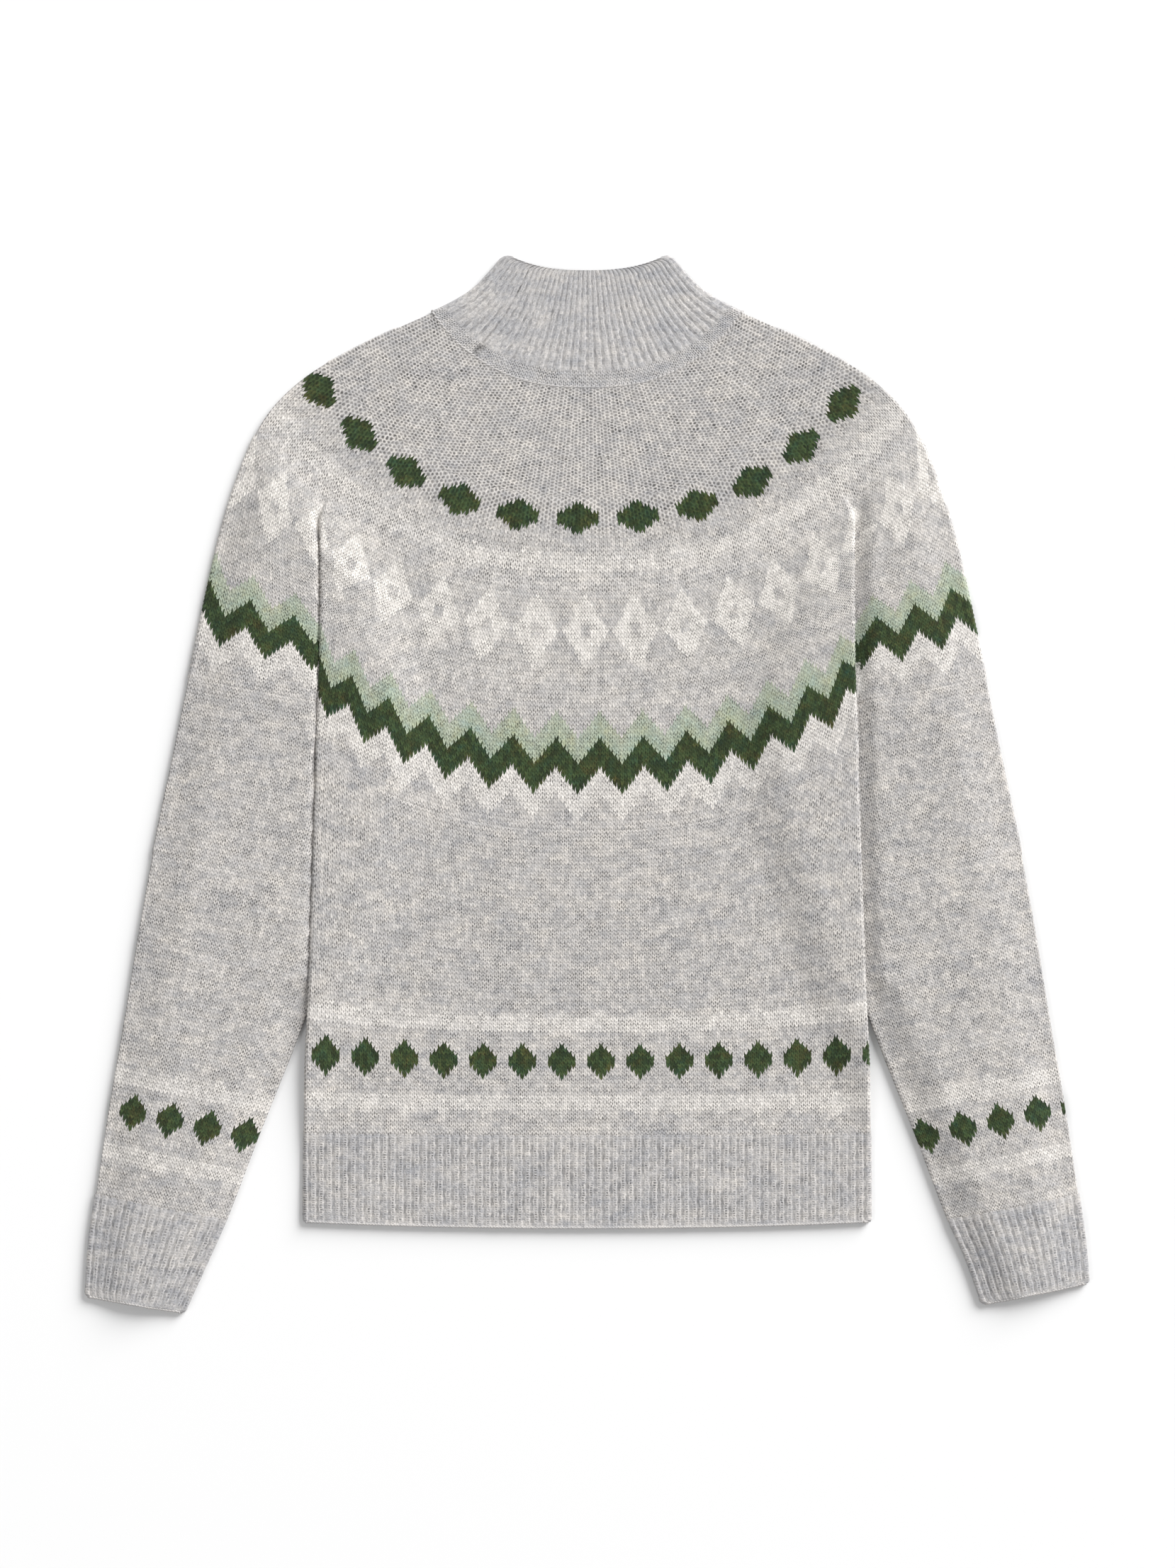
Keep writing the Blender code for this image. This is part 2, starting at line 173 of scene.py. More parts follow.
def curve_through(x, xs, ys):
    """Smooth curve without overshoot through rising xs and their rows of ys, read at x.

    Beyond the first and the last of xs it runs straight on.
    """
    ys = ys.reshape(len(xs), -1)
    step = np.diff(xs)[:, None]
    slope = np.diff(ys, axis=0) / step
    tangent = np.zeros_like(ys)
    same_way = slope[:-1] * slope[1:] > 0
    mean = 2 * slope[:-1] * slope[1:] / np.where(same_way, slope[:-1] + slope[1:], 1.0)
    tangent[1:-1] = np.where(same_way, mean, 0.0)
    tangent[0], tangent[-1] = slope[0], slope[-1]
    within = np.clip(x, xs[0], xs[-1])
    beyond = np.where((x < xs[0])[:, None], tangent[0], tangent[-1]) * (x - within)[:, None]
    i = np.clip(np.searchsorted(xs, within, side="right") - 1, 0, len(xs) - 2)
    h = step[i]
    t = ((within - xs[i]) / h[:, 0])[:, None]
    return ((2 * t**3 - 3 * t**2 + 1) * ys[i] + (t**3 - 2 * t**2 + t) * h * tangent[i]
            + (3 * t**2 - 2 * t**3) * ys[i + 1] + (t**3 - t**2) * h * tangent[i + 1] + beyond)


def unit(vectors):
    """The same directions with length 1."""
    return vectors / np.maximum(np.linalg.norm(vectors, axis=-1, keepdims=True), 1e-12)


def rounded(from_end, radius):
    """How much a rounded corner takes off at each side, by the distance from the end."""
    near = np.clip(1 - from_end / radius, 0.0, 1.0)
    return radius * (1 - np.sqrt(1 - near ** 2))


def column(x, table, which=1):
    """A column of a table whose first column falls, read at x as a smooth curve."""
    flat = np.ravel(x)
    rising = table[::-1]
    return curve_through(flat, rising[:, 0], rising[:, which]).reshape(np.shape(x))


def body_half(y):
    return column(y, BODY_SIDES)


# ------------------------------------------------------------------------------------------------
# The courses of the neck and yoke

def fold_of(centre_y):
    """Where courses meet the crease, and their slope there on the body and along the pleat."""
    rise, half_width, turn = (column(centre_y, COURSES, k) for k in (1, 2, 4))
    y = centre_y + rise
    x = np.minimum(body_half(y) - EDGE, FOLD_SHARE * half_width)
    slope = BOW * rise / x
    return x, y, slope, between(slope, PLEAT_SLOPE, turn / 180.0)


def pleat_steps(turn, depth):
    """Steps (sideways, down, along) of the pleat from its crease to its valley."""
    full = np.radians(turn)[:, None]
    a = full * np.linspace(0, 1, FOLD_POINTS)
    side, down, along = FOLD_RADIUS * np.sin(a), FOLD_RADIUS * (1 - np.cos(a)), FOLD_RADIUS * a
    run = depth[:, None] * np.linspace(0, 1, RETURN_POINTS)[1:]
    side = np.hstack((side, side[:, -1:] + run * np.cos(full)))
    down = np.hstack((down, down[:, -1:] + run * np.sin(full)))
    along = np.hstack((along, along[:, -1:] + run))
    b = a[:, 1:]
    side = np.hstack((side, side[:, -1:] + FOLD_RADIUS * (np.sin(full) - np.sin(full - b))))
    down = np.hstack((down, down[:, -1:] + FOLD_RADIUS * (np.cos(full - b) - np.cos(full))))
    along = np.hstack((along, along[:, -1:] + FOLD_RADIUS * b))
    return side, down, along


def inner_fold_line():
    """Rows of (y, x) down the inner folded edge of what lies under the body's side."""
    rows = COURSES[COURSES[:, 4] == 180]
    x, y, _, slope = fold_of(rows[:, 0])
    side, _, along = pleat_steps(rows[:, 4], rows[:, 5])
    valley = np.column_stack((y + slope * along[:, -1], x + side[:, -1] - EDGE))
    return np.vstack((valley, SLEEVE_ROWS[:, [3, 2]]))


INNER_FOLD = inner_fold_line()


def ride(x, y, rise=2 * LAYER):
    """How much the upper cloth is lifted at x, y by the fold or sleeve under it."""
    full_x = column(y, INNER_FOLD) - CLEARANCE
    return rise * smooth((np.abs(x) - full_x + RAMP) / RAMP)


def layer(number):
    """Height of the middle of a layer of cloth, counted from 1 on the ground."""
    return WALL / 2 + (number - 1) * LAYER


def edge_outward(centre_y):
    """Direction in plan out of the silhouette at each course's end, on the right."""
    step = 1.5 * MM
    above = np.minimum(centre_y + step, COLLAR_TOP_Y)
    below = np.maximum(centre_y - step, YOKE_END_Y)
    run_x = column(below, COURSES, 2) - column(above, COURSES, 2)
    run_y = column(below, COURSES, 3) - column(above, COURSES, 3)
    return unit(np.stack((-run_y, run_x), axis=1))


def points(x, y, z):
    return np.stack(np.broadcast_arrays(x, y, z), axis=2)


def run_along(path, flat_only=True):
    """Length along each row of points, from its first."""
    step = np.diff(path[:, :, :2] if flat_only else path, axis=1)
    return np.hstack((np.zeros((len(path), 1)), np.cumsum(np.linalg.norm(step, axis=2), axis=1)))


def mirrored(path):
    """The left half of rows whose right half starts in the middle, without the middle."""
    left = path[:, :0:-1].copy()
    left[:, :, 0] *= -1
    return left


def waves(x, y):
    """Slight swell of cloth smoothed out by hand, 0 to 1, in waves 0.2 to 0.4 m long."""
    return 0.5 + 0.25 * (np.sin(x / 0.037 + 1.3) * np.sin(y / 0.049 + 0.4)
                         + np.sin((x + 0.7 * y) / 0.063 + 2.1))


def body_swell(x, y, across):
    """Slight swell of the body's upper layer, across running from 0 in its middle to 1."""
    return cloth().body_swell * waves(x, y) * (1 - across ** 6)


def lofted(x, y, inner, outer, side):
    """Rise of a sleeve's upper layer, from distances to its crease at the body and outer edge."""
    steep = smooth((inner + CREASE_FROM) / CREASE_RUN) ** 1.5
    rise = between(smooth(inner / CREASE_WIDTH[side]), steep, CREASE_STEEP[side])
    swell = cloth().sleeve_swell * waves(x, y) * smooth(outer / SWELL_EDGE)
    return cloth().sleeve_loft * rise * smooth(outer / LOFT_EDGE) + swell


def close_ring(top, u_top, bottom, out_left, out_right, pitch, count, middle):
    """Whole rings from an upper layer, left to right, and a lower one, right to left.

    Returns points (rows, K, 3) and wales (rows, K), from the middle of the lower layer and back.
    """
    angle = np.linspace(0, math.pi, EDGE_POINTS)[None, 1:-1]

    def arc(start, end, out, turn):
        radius = (np.abs(start[:, 2] - end[:, 2]) / 2)[:, None]
        share = angle / math.pi
        x = between(start[:, :1], end[:, :1], share) + out[:, :1] * radius * np.sin(angle)
        y = between(start[:, 1:2], end[:, 1:2], share) + out[:, 1:] * radius * np.sin(angle)
        z = (start[:, 2:] + end[:, 2:]) / 2 + turn * radius * np.cos(angle)
        return points(x, y, z), radius * angle / pitch, radius[:, 0] * math.pi / pitch

    right, u_right, u_turn = arc(top[:, -1], bottom[:, 0], out_right, 1)
    left, u_left, u_turn_left = arc(bottom[:, -1], top[:, 0], out_left, -1)
    half = bottom.shape[1] // 2
    run = run_along(bottom)
    u_start, u_end = u_top[:, -1] + u_turn, u_top[:, 0] - u_turn_left
    first = between(u_start[:, None], middle + count / 2, run / run[:, half:half + 1])
    last = between(middle - count / 2, u_end[:, None],
                   (run - run[:, half:half + 1]) / (run[:, -1:] - run[:, half:half + 1]))
    ring = np.concatenate((bottom[:, half:], left, top, right, bottom[:, :half + 1]), axis=1)
    wales = np.concatenate((last[:, half:], u_end[:, None] + u_left, u_top,
                            u_top[:, -1:] + u_right, first[:, :half + 1]), axis=1)
    return ring, wales


def course_stretches(centre_y):
    """Right half of the courses at centre_y: body, pleat, sleeve, and what lies under them."""
    cy = centre_y[:, None]
    rise, half_width, edge_y, turn, depth, front_y = (column(cy, COURSES, k) for k in range(1, 7))
    turn = np.maximum(turn, LAST_FLAT_TURN)
    depth = np.maximum(depth, LAST_FLAT_DEPTH)
    fold_x, fold_y, body_slope, pleat_slope = fold_of(cy)
    folded = turn / 180.0
    cut = rounded(COLLAR_TOP_Y - cy, CORNER)
    half_width, edge_y = half_width - cut, edge_y - CORNER_FALL * cut
    side, down, along = pleat_steps(turn[:, 0], depth[:, 0])
    drop = down[:, -1:]

    share = np.linspace(0, 1, BODY_POINTS)[None, :]
    x, y = share * fold_x, cy + rise * share ** BOW
    body = points(x, y, layer(2) + ride(x, y, drop) + body_swell(x, y, share))
    pleat = points(fold_x + side, fold_y + pleat_slope * along, layer(2) + drop - down)

    outward = edge_outward(centre_y)
    valley_x, valley_y = fold_x + side[:, -1:], fold_y + pleat_slope * along[:, -1:]
    end_x = half_width - outward[:, :1] * EDGE
    end_y = edge_y - outward[:, 1:] * EDGE
    reach = end_x - valley_x
    start_slope = between(body_slope, SLEEVE_SLOPE, folded)
    bend = (end_y - valley_y - start_slope * reach) / reach ** 2
    run = np.linspace(0, 1, SLEEVE_POINTS)[None, :] * reach
    x, y = valley_x + run, valley_y + start_slope * run + bend * run ** 2
    to_edge = run_along(points(x, y, 0.0))
    to_edge = to_edge[:, -1:] - to_edge
    sleeves = {}
    for hand in (-1, 1):
        rise_z = lofted(hand * x, y, x - body_half(y), to_edge, hand)
        rise_z = rise_z * smooth(folded / LOFT_TURN) * smooth((x - valley_x) / PLEAT_EDGE)
        sleeves[hand] = points(x, y, layer(2) + rise_z)

    under_sleeve = points(x, y, layer(1))[:, ::-1]
    share = np.linspace(1, 0, UNDER_POINTS)[None, :]
    under_rise = between(share ** UNDER_BOW, smooth(share), folded)
    under_body = points(share * valley_x, between(front_y, valley_y, under_rise), layer(1))
    under = np.concatenate((under_sleeve, under_body[:, 1:]), axis=1)
    return body, pleat, sleeves, under, outward


def neck_half(centre_y, wales, side, body, pleat, sleeve):
    """One side of the upper layer of the courses at centre_y, and the wale at each of its points.

    A fan has its wales spread evenly over each course. Where wales has an edge, the fan gives way
    below SPREAD_END to wales set by their pitch, counted outwards on the body and inwards from the
    outer edge on the sleeve. What is left between the two is taken up out of sight in the pleat.
    """
    top = np.concatenate((body, pleat[:, 1:], sleeve[:, 1:]), axis=1)
    run = run_along(top)
    if "edge" not in wales:
        return top, run * wales["fan"] / run[:, -1:]
    fan = run * wales["edge"][side] / run[:, -1:]
    spread_out = 1 + WALE_SPREAD * (PITCH_Y - centre_y[:, None])
    pitch, sleeve_pitch = wales["pitch"] * spread_out, wales["sleeve_pitch"][side] * spread_out
    run = run_along(top, flat_only=False)
    crease = BODY_POINTS - 1
    counted = run / pitch
    from_edge = run_along(sleeve)
    from_edge = from_edge[:, -1:] - from_edge
    counted[:, -sleeve.shape[1]:] = wales["edge"][side] - from_edge / sleeve_pitch
    unseen = top[:, :, 0] < top[:, crease, None, 0]
    unseen[:, :crease + FOLD_POINTS] = False
    for row in range(len(top)):
        gone, seen = unseen[row].nonzero()[0], (~unseen[row]).nonzero()[0]
        counted[row, gone] = np.interp(run[row, gone], run[row, seen], counted[row, seen])
    return top, between(fan, counted, smooth((SPREAD_END - centre_y[:, None]) / SPREAD_FADE))


def neck_section(centre_y, wales):
    """Rings of the collar and yoke."""
    body, pleat, sleeves, under, outward = course_stretches(centre_y)
    left, u_left = neck_half(centre_y, wales, -1, body, pleat, sleeves[-1])
    right, u_right = neck_half(centre_y, wales, 1, body, pleat, sleeves[1])
    top = np.concatenate((mirrored(left), right), axis=1)
    u_top = np.hstack((-u_left[:, :0:-1], u_right))
    bottom = np.concatenate((under, mirrored(under[:, ::-1])[:, ::-1]), axis=1)
    out_left = outward * np.array((-1.0, 1.0))
    pitch = np.mean(run_along(right)[:, -1] / u_right[:, -1])
    return close_ring(top, u_top, bottom, out_left, outward, pitch, wales["count"], 0.0)


def lower_edge_y(x, y, rise):
    return y + rise * (x / BODY_SIDES[-1, 1]) ** 2


def body_section(share, wales, hem=False):
    """Rings of the body from the yoke down, or of its hem rib, at shares of the way down."""
    down = share[:, None]
    across = np.linspace(0, 1, PANEL_POINTS)[None, :]
    if hem:
        back = front = lower_edge_y(across * BODY_SIDES[-1, 1], BODY_END_Y, BODY_END_RISE)
        end = (HEM_END_Y, HEM_END_RISE)
    else:
        lowest = COURSES[-1:, 0]
        fold_x, fold_y, _, slope = fold_of(lowest)
        side, _, along = pleat_steps(COURSES[-1:, 4], COURSES[-1:, 5])
        valley = (fold_x + side[:, -1]) / fold_x
        valley_y = fold_y + slope * along[:, -1]
        back = lowest + COURSES[-1, 1] * across ** BOW
        inner = between(COURSES[-1, 6], valley_y, smooth(across / valley))
        returning = between(valley_y, fold_y + slope * FOLD_RADIUS * math.pi,
                            (across - valley) / (1 - valley))
        front = np.where(across < valley, inner, returning)
        end = (BODY_END_Y, BODY_END_RISE)
    halves = []
    middle = between(back[:, :1], end[0], down)
    for start, number in ((back, 2), (front, 1)):
        last_rise = lower_edge_y(across * body_half(end[0]), 0.0, end[1])
        curve = (start - back[:, :1]) * np.maximum(1 - down, 0) ** CURVE_FADE
        y = middle + curve + last_rise * down
        half = body_half(y) - EDGE
        if not hem:
            half = between(fold_x, half, smooth(down / SIDE_SHARE))
        x = across * half
        if hem:
            x = x - across * rounded((1 - down) * (BODY_END_Y - HEM_END_Y), HEM_CORNER)
        swell = body_swell(x, y, across) if number == 2 else 0.0
        halves.append(points(x, y, layer(number) + ride(x, y) + swell))
    pitch = wales["pitch"]
    top, under = halves
    gathered = 0.0 if hem else GATHERED * np.maximum(1 - down / GATHERED_SHARE, 0)
    u_half = top[:, :, 0] / (pitch * (1 - gathered))
    top = np.concatenate((mirrored(top), top), axis=1)
    u_top = np.hstack((-u_half[:, :0:-1], u_half))
    bottom = np.concatenate((under[:, ::-1], mirrored(under)[:, ::-1]), axis=1)
    out = np.tile((1.0, 0.0), (len(share), 1))
    return close_ring(top, u_top, bottom, -out, out, pitch, wales["count"], 0.0)


@functools.cache
def sleeve_plan(side):
    """Upper layer of sleeve and cuff in plan, a row of points for each row of the table."""
    seam = course_stretches(COURSES[-1:, 0])[2][side][0, :, :2]
    shares = np.linspace(0, 1, len(seam))[:, None]
    rows = [seam]
    for row in np.vstack((SLEEVE_ROWS, CUFF_MIDDLE, CUFF_END[side])):
        outer, inner = row[:2], row[2:]
        outward = unit(outer - inner)
        rows.append(between(inner + outward * EDGE, outer - outward * EDGE, shares))
    plan = np.array(rows)
    middle = plan[:, len(seam) // 2]
    way = np.concatenate(([0.0], np.cumsum(np.linalg.norm(np.diff(middle, axis=0), axis=1))))
    if side < 0:
        plan = plan[:, ::-1] * np.array((-1.0, 1.0))
    return way, plan


SLEEVE_END = len(SLEEVE_ROWS)  # index in the plan of the row where the cuff starts


def sleeve_section(distance, wales, side):
    """Rings of a sleeve or cuff at distances below the yoke."""
    way, plan = sleeve_plan(side)
    count = plan.shape[1]
    flat = curve_through(distance, way, plan).reshape(len(distance), count, 2)
    # the corners of the cuff are rounded
    middle_line = (flat[:, :1] + flat[:, -1:]) / 2
    reach = np.linalg.norm(flat[:, 0] - middle_line[:, 0], axis=1)
    cut = rounded(way[-1] - distance, CUFF_CORNER) / reach
    flat = middle_line + (flat - middle_line) * (1 - cut)[:, None, None]
    step = 2 * MM
    below = curve_through(distance + step, way, plan[:, [0, -1]]).reshape(-1, 2, 2)
    above = curve_through(distance - step, way, plan[:, [0, -1]]).reshape(-1, 2, 2)
    run = unit(below - above)
    out_left = np.stack((run[:, 0, 1], -run[:, 0, 0]), axis=1)
    out_right = np.stack((-run[:, 1, 1], run[:, 1, 0]), axis=1)
    x, y = flat[:, :, 0], flat[:, :, 1]
    across = run_along(flat)
    width = across[:, -1:]
    from_inner = across if side > 0 else width - across
    rise_z = lofted(x, y, np.abs(x) - body_half(y), width - from_inner, side)
    # from its inner edge it rises at once where that lies under the body, and gently where not
    inner_end = 0 if side > 0 else -1
    tucked = smooth((body_half(y[:, inner_end]) - np.abs(x[:, inner_end])) / TUCKED)
    rise_z = rise_z * smooth(from_inner / between(FREE_EDGE, PLEAT_EDGE, tucked)[:, None])
    top = points(x, y, layer(2) + rise_z)
    bottom = points(x, y, layer(1))[:, ::-1]
    pitch = width / wales["across"]
    u_top = across / pitch + wales["start"]
    middle = wales["start"] + wales["across"] / 2
    return close_ring(top, u_top, bottom, out_left, out_right, np.mean(pitch), wales["count"],
                      middle)


# ------------------------------------------------------------------------------------------------
# Knitting the stitches

LEAN = 0.5                   # courses by which a stitch's outer end stands above its foot
COLOUR_LEAN = 1.0            # the same for the edge of a coloured shape, drawn out by the brushing
OUTER = 0.9 * MM             # from the middle of the cloth to its outer face
INNER = 0.8 * MM
STITCH_LOW, STITCH_HIGH = -0.22 * MM, 0.30 * MM
RIB_COLUMNS = ((0.0, -0.55), (0.27, 0.42), (0.5, 0.20), (0.73, 0.42))   # share, height in mm
RIB_DIP = -0.16              # of the middle of a rib between its stitches, in mm
OVERLAP = 0.12               # courses by which tubes that are knitted together run past each other
RIM_DROP = 0.02 * MM         # how far their rims are sunk, so that they don't show
LEAN_IN = 3                  # courses from a zone's ends over which stitches start to lean
CAST_OFF_IN = 3              # courses over which a rib is drawn flat at its cast-off edge
CAST_OFF_LEAST = 0.2         # share of its relief that is left there
BARE_STEP = 2.0              # wales from point to point where cloth is out of sight
UNSEEN = 1 * MM              # how far under a fold or an edge cloth is out of sight


class Shell:
    """Points, faces and wale and course numbers of a piece of cloth, gathered before it is made."""

    def __init__(self):
        self.points, self.faces, self.uvs, self.rims, self.count = [], [], [], [], 0

    def add(self, rows):
        """Adds a block of points and returns their numbers in the same arrangement."""
        numbers = self.count + np.arange(rows.shape[0] * rows.shape[1]).reshape(rows.shape[:2])
        rows = rows.reshape(-1, 3).copy()
        rows[:, 2] = np.maximum(rows[:, 2], 0.0)    # pressed flat where it lies on the ground
        self.points.append(rows)
        self.count += numbers.size
        return numbers

    def face(self, corners, uvs):
        """corners (n, sides) and uvs (n, sides, 2)."""
        self.faces.append(corners)
        self.uvs.append(uvs)

    def make(self, name, material):
        mesh = bpy.data.meshes.new(name)
        xyz = np.concatenate(self.points)
        mesh.vertices.add(len(xyz))
        mesh.vertices.foreach_set("co", xyz.ravel())
        loops = np.concatenate([f.ravel() for f in self.faces])
        sizes = np.concatenate([np.full(len(f), f.shape[1]) for f in self.faces])
        mesh.loops.add(len(loops))
        mesh.loops.foreach_set("vertex_index", loops.astype(np.int32))
        mesh.polygons.add(len(sizes))
        starts = np.concatenate(([0], np.cumsum(sizes)[:-1]))
        mesh.polygons.foreach_set("loop_start", starts.astype(np.int32))
        mesh.update(calc_edges=True)
        uv = mesh.uv_layers.new(name="Stitches")
        uv.data.foreach_set("uv", np.concatenate([u.reshape(-1, 2) for u in self.uvs]).ravel())
        mesh.validate(verbose=False)
        mesh.shade_smooth()
        # sharp where one tube of cloth runs on into the next, so that no crease shows there
        edges = np.empty(len(mesh.edges) * 2, np.int32)
        mesh.edges.foreach_get("vertices", edges)
        sharp = np.isin(edges, np.concatenate(self.rims)).reshape(-1, 2).all(axis=1)
        mesh.attributes.new("sharp_edge", "BOOLEAN", "EDGE").data.foreach_set("value", sharp)
        mesh.materials.append(material)
        return put(name, mesh)


def facing(section, v):
    """Rings at v with their wales and the outward normals of the cloth."""
    step = 0.05    # courses
    ring, wales = section(v)
    down = section(v + step)[0] - section(v - step)[0]
    across = np.gradient(ring, axis=1)
    across[:, 0] = across[:, -1] = (ring[:, 1] - ring[:, 0]) + (ring[:, -1] - ring[:, -2])
    return ring, wales, unit(np.cross(down, across))


def read_rings(section, v, us):
    """Points and normals on the rings at v, at wales us."""
    ring, wales, normal = facing(section, v)
    out = np.empty((len(v), len(us), 6))
    for i in range(len(v)):
        for k in range(3):
            out[i, :, k] = np.interp(us, wales[i], ring[i, :, k])
            out[i, :, 3 + k] = np.interp(us, wales[i], normal[i, :, k])
    return out[:, :, :3], unit(out[:, :, 3:])


def spread(low, high, step):
    """Evenly spaced numbers from low up to but not including high, about step apart."""
    count = max(1, round((high - low) / step))
    return low + (high - low) * np.arange(count) / count


def quads(grid, beside):
    """Corners of the faces between the points of a grid and those beside them."""
    return np.stack((grid[:-1], grid[1:], beside[1:], beside[:-1]), axis=2)


def stitch_columns(zone, middle):
    """Wales where points are set, and whether stitches are knitted from each to the next."""
    low, high = math.ceil(zone["fine"][0]), math.floor(zone["fine"][1])
    parts = (spread(middle - zone["count"] / 2, low, BARE_STEP), np.arange(low, high, 0.5),
             spread(high, middle + zone["count"] / 2, BARE_STEP))
    return np.concatenate(parts), np.repeat((False, True, False), [len(us) for us in parts])


def rib_columns(zone, middle):
    """The same for a rib: every rib in full where it shows, and in outline elsewhere."""
    start, end = middle - zone["count"] / 2, middle + zone["count"] / 2
    us, heights, dips = [], [], []
    for rib in np.arange(round(start), round(end)):
        shows = zone["fine"][0] <= rib < zone["fine"][1]
        for share, height in RIB_COLUMNS:
            if shows or share in (0.0, 0.5):
                us.append(rib + share)
                heights.append(height * MM)
                dips.append(RIB_DIP * MM if share == 0.5 and shows else 0.0)
    return np.array(us), np.array(heights), np.array(dips)


def rim_rows(zone, step):
    """Courses of a zone at which points are set, and how far the tube's rims are rounded off."""
    rows = np.arange(zone["first"], zone["last"] + 0.01, step)
    drop = np.zeros((len(rows), 1))
    for end, way in ((0, -1), (-1, 1)):
        if end in zone.get("rims", ()):
            rows[end] += way * OVERLAP
            drop[end] = RIM_DROP
    return rows, drop


def sunk(zone, u):
    """How far the cloth is drawn in at wales u by the seam that closes the collar."""
    wale, width, depth = zone.get("seam", (0.0, 1.0, 0.0))
    return depth * np.exp(-((u - wale) / width) ** 2)


def knit_zone(shell, section, zone, middle):
    """Knits one zone of a tube and returns its first and last rings, as (numbers, wales, v)."""
    count = zone["count"]
    relief = zone.get("relief", 1.0) * cloth().relief
    if zone["kind"] == "rib":
        us, heights, dips = rib_columns(zone, middle)
        rows, drop = rim_rows(zone, 0.5)
        at, normal = read_rings(section, rows, us)
        dip = np.where(np.arange(len(rows)) % 2 == 1, zone.get("dip", 1.0), 0.0)[:, None]
        to_end = (zone.get("cast_off", math.inf) - rows[:, None]) / CAST_OFF_IN
        ribbed = relief * np.clip(to_end, CAST_OFF_LEAST, 1.0)
        depth = OUTER - drop + ribbed * (heights + dip * dips) - sunk(zone, us)
        xyz = at + normal * depth[..., None]
        numbers = shell.add(xyz)
        v = np.broadcast_to(rows[:, None], numbers.shape)
        fine = np.zeros(len(us), bool)
    else:
        us, fine = stitch_columns(zone, middle)
        rows, drop = rim_rows(zone, 1.0)
        ends = np.clip(np.minimum(rows - rows[0], rows[-1] - rows) / LEAN_IN, 0, 1)[:, None]
        inside = fine | np.roll(fine, 1)
        outer_end = inside & (us % 1 == 0)
        v = rows[:, None] - LEAN * ends * outer_end
        foot, foot_normal = read_rings(section, rows, us)
        tip, tip_normal = read_rings(section, v[:, np.argmax(outer_end)], us)
        pick = outer_end[None, :, None]
        normal = np.where(pick, tip_normal, foot_normal)
        depth = OUTER - drop - sunk(zone, us) + STITCH_LOW * relief * inside * ends
        numbers = shell.add(np.where(pick, tip, foot) + normal * depth[:, :, None])
    after = np.roll(numbers, -1, axis=1)
    u = np.broadcast_to(us, numbers.shape)
    u_after = np.broadcast_to(np.append(us[1:], us[0] + count), numbers.shape)
    v_after = np.roll(v, -1, axis=1)
    corner = quads(numbers, after)
    corner_uv = np.stack((quads(u, u_after), quads(v, v_after)), axis=3)
    shell.face(corner[:, ~fine].reshape(-1, 4), corner_uv[:, ~fine].reshape(-1, 4, 2))
    if fine.any():
        corner, corner_uv = corner[:, fine], corner_uv[:, fine]
        crown_u = corner_uv[0, :, :, 0].mean(axis=1)
        crown_v = corner_uv[:, 0, :, 1].mean(axis=1)
        at, normal = read_rings(section, crown_v, crown_u)
        shows = ~zone["hidden"](at, crown_u[None, :], crown_v[:, None]) if "hidden" in zone else (
            np.ones(at.shape[:2], bool))
        shell.face(corner[~shows], corner_uv[~shows])
        corner, corner_uv = corner[shows], corner_uv[shows]
        high = OUTER + STITCH_HIGH * relief - sunk(zone, crown_u)
        crown = shell.add((at + normal * high[:, None])[shows][None])[0]
        crown_uv = np.stack(np.broadcast_arrays(crown_u[None, :], crown_v[:, None]), axis=2)[shows]
        for a, b in ((0, 1), (1, 2), (2, 3), (3, 0)):
            shell.face(np.stack((corner[:, a], corner[:, b], crown), axis=1),
                       np.stack((corner_uv[:, a], corner_uv[:, b], crown_uv), axis=1))
    return (numbers[0], us, rows[0]), (numbers[-1], us, rows[-1])


def bridge(shell, upper, lower, count):
    """Joins two rings of unlike numbers of points, given as (numbers, wales, v)."""
    a, ua, va = upper
    b, ub, vb = lower
    ua, ub = np.append(ua, ua[0] + count), np.append(ub, ub[0] + count)
    a, b = np.append(a, a[0]), np.append(b, b[0])
    i = j = 0
    faces, uvs = [], []
    while i < len(a) - 1 or j < len(b) - 1:
        if j == len(b) - 1 or (i < len(a) - 1 and ua[i + 1] <= ub[j + 1]):
            faces.append((a[i], b[j], a[i + 1]))
            uvs.append(((ua[i], va), (ub[j], vb), (ua[i + 1], va)))
            i += 1
        else:
            faces.append((a[i], b[j], b[j + 1]))
            uvs.append(((ua[i], va), (ub[j], vb), (ub[j + 1], vb)))
            j += 1
    shell.face(np.array(faces), np.array(uvs, float))


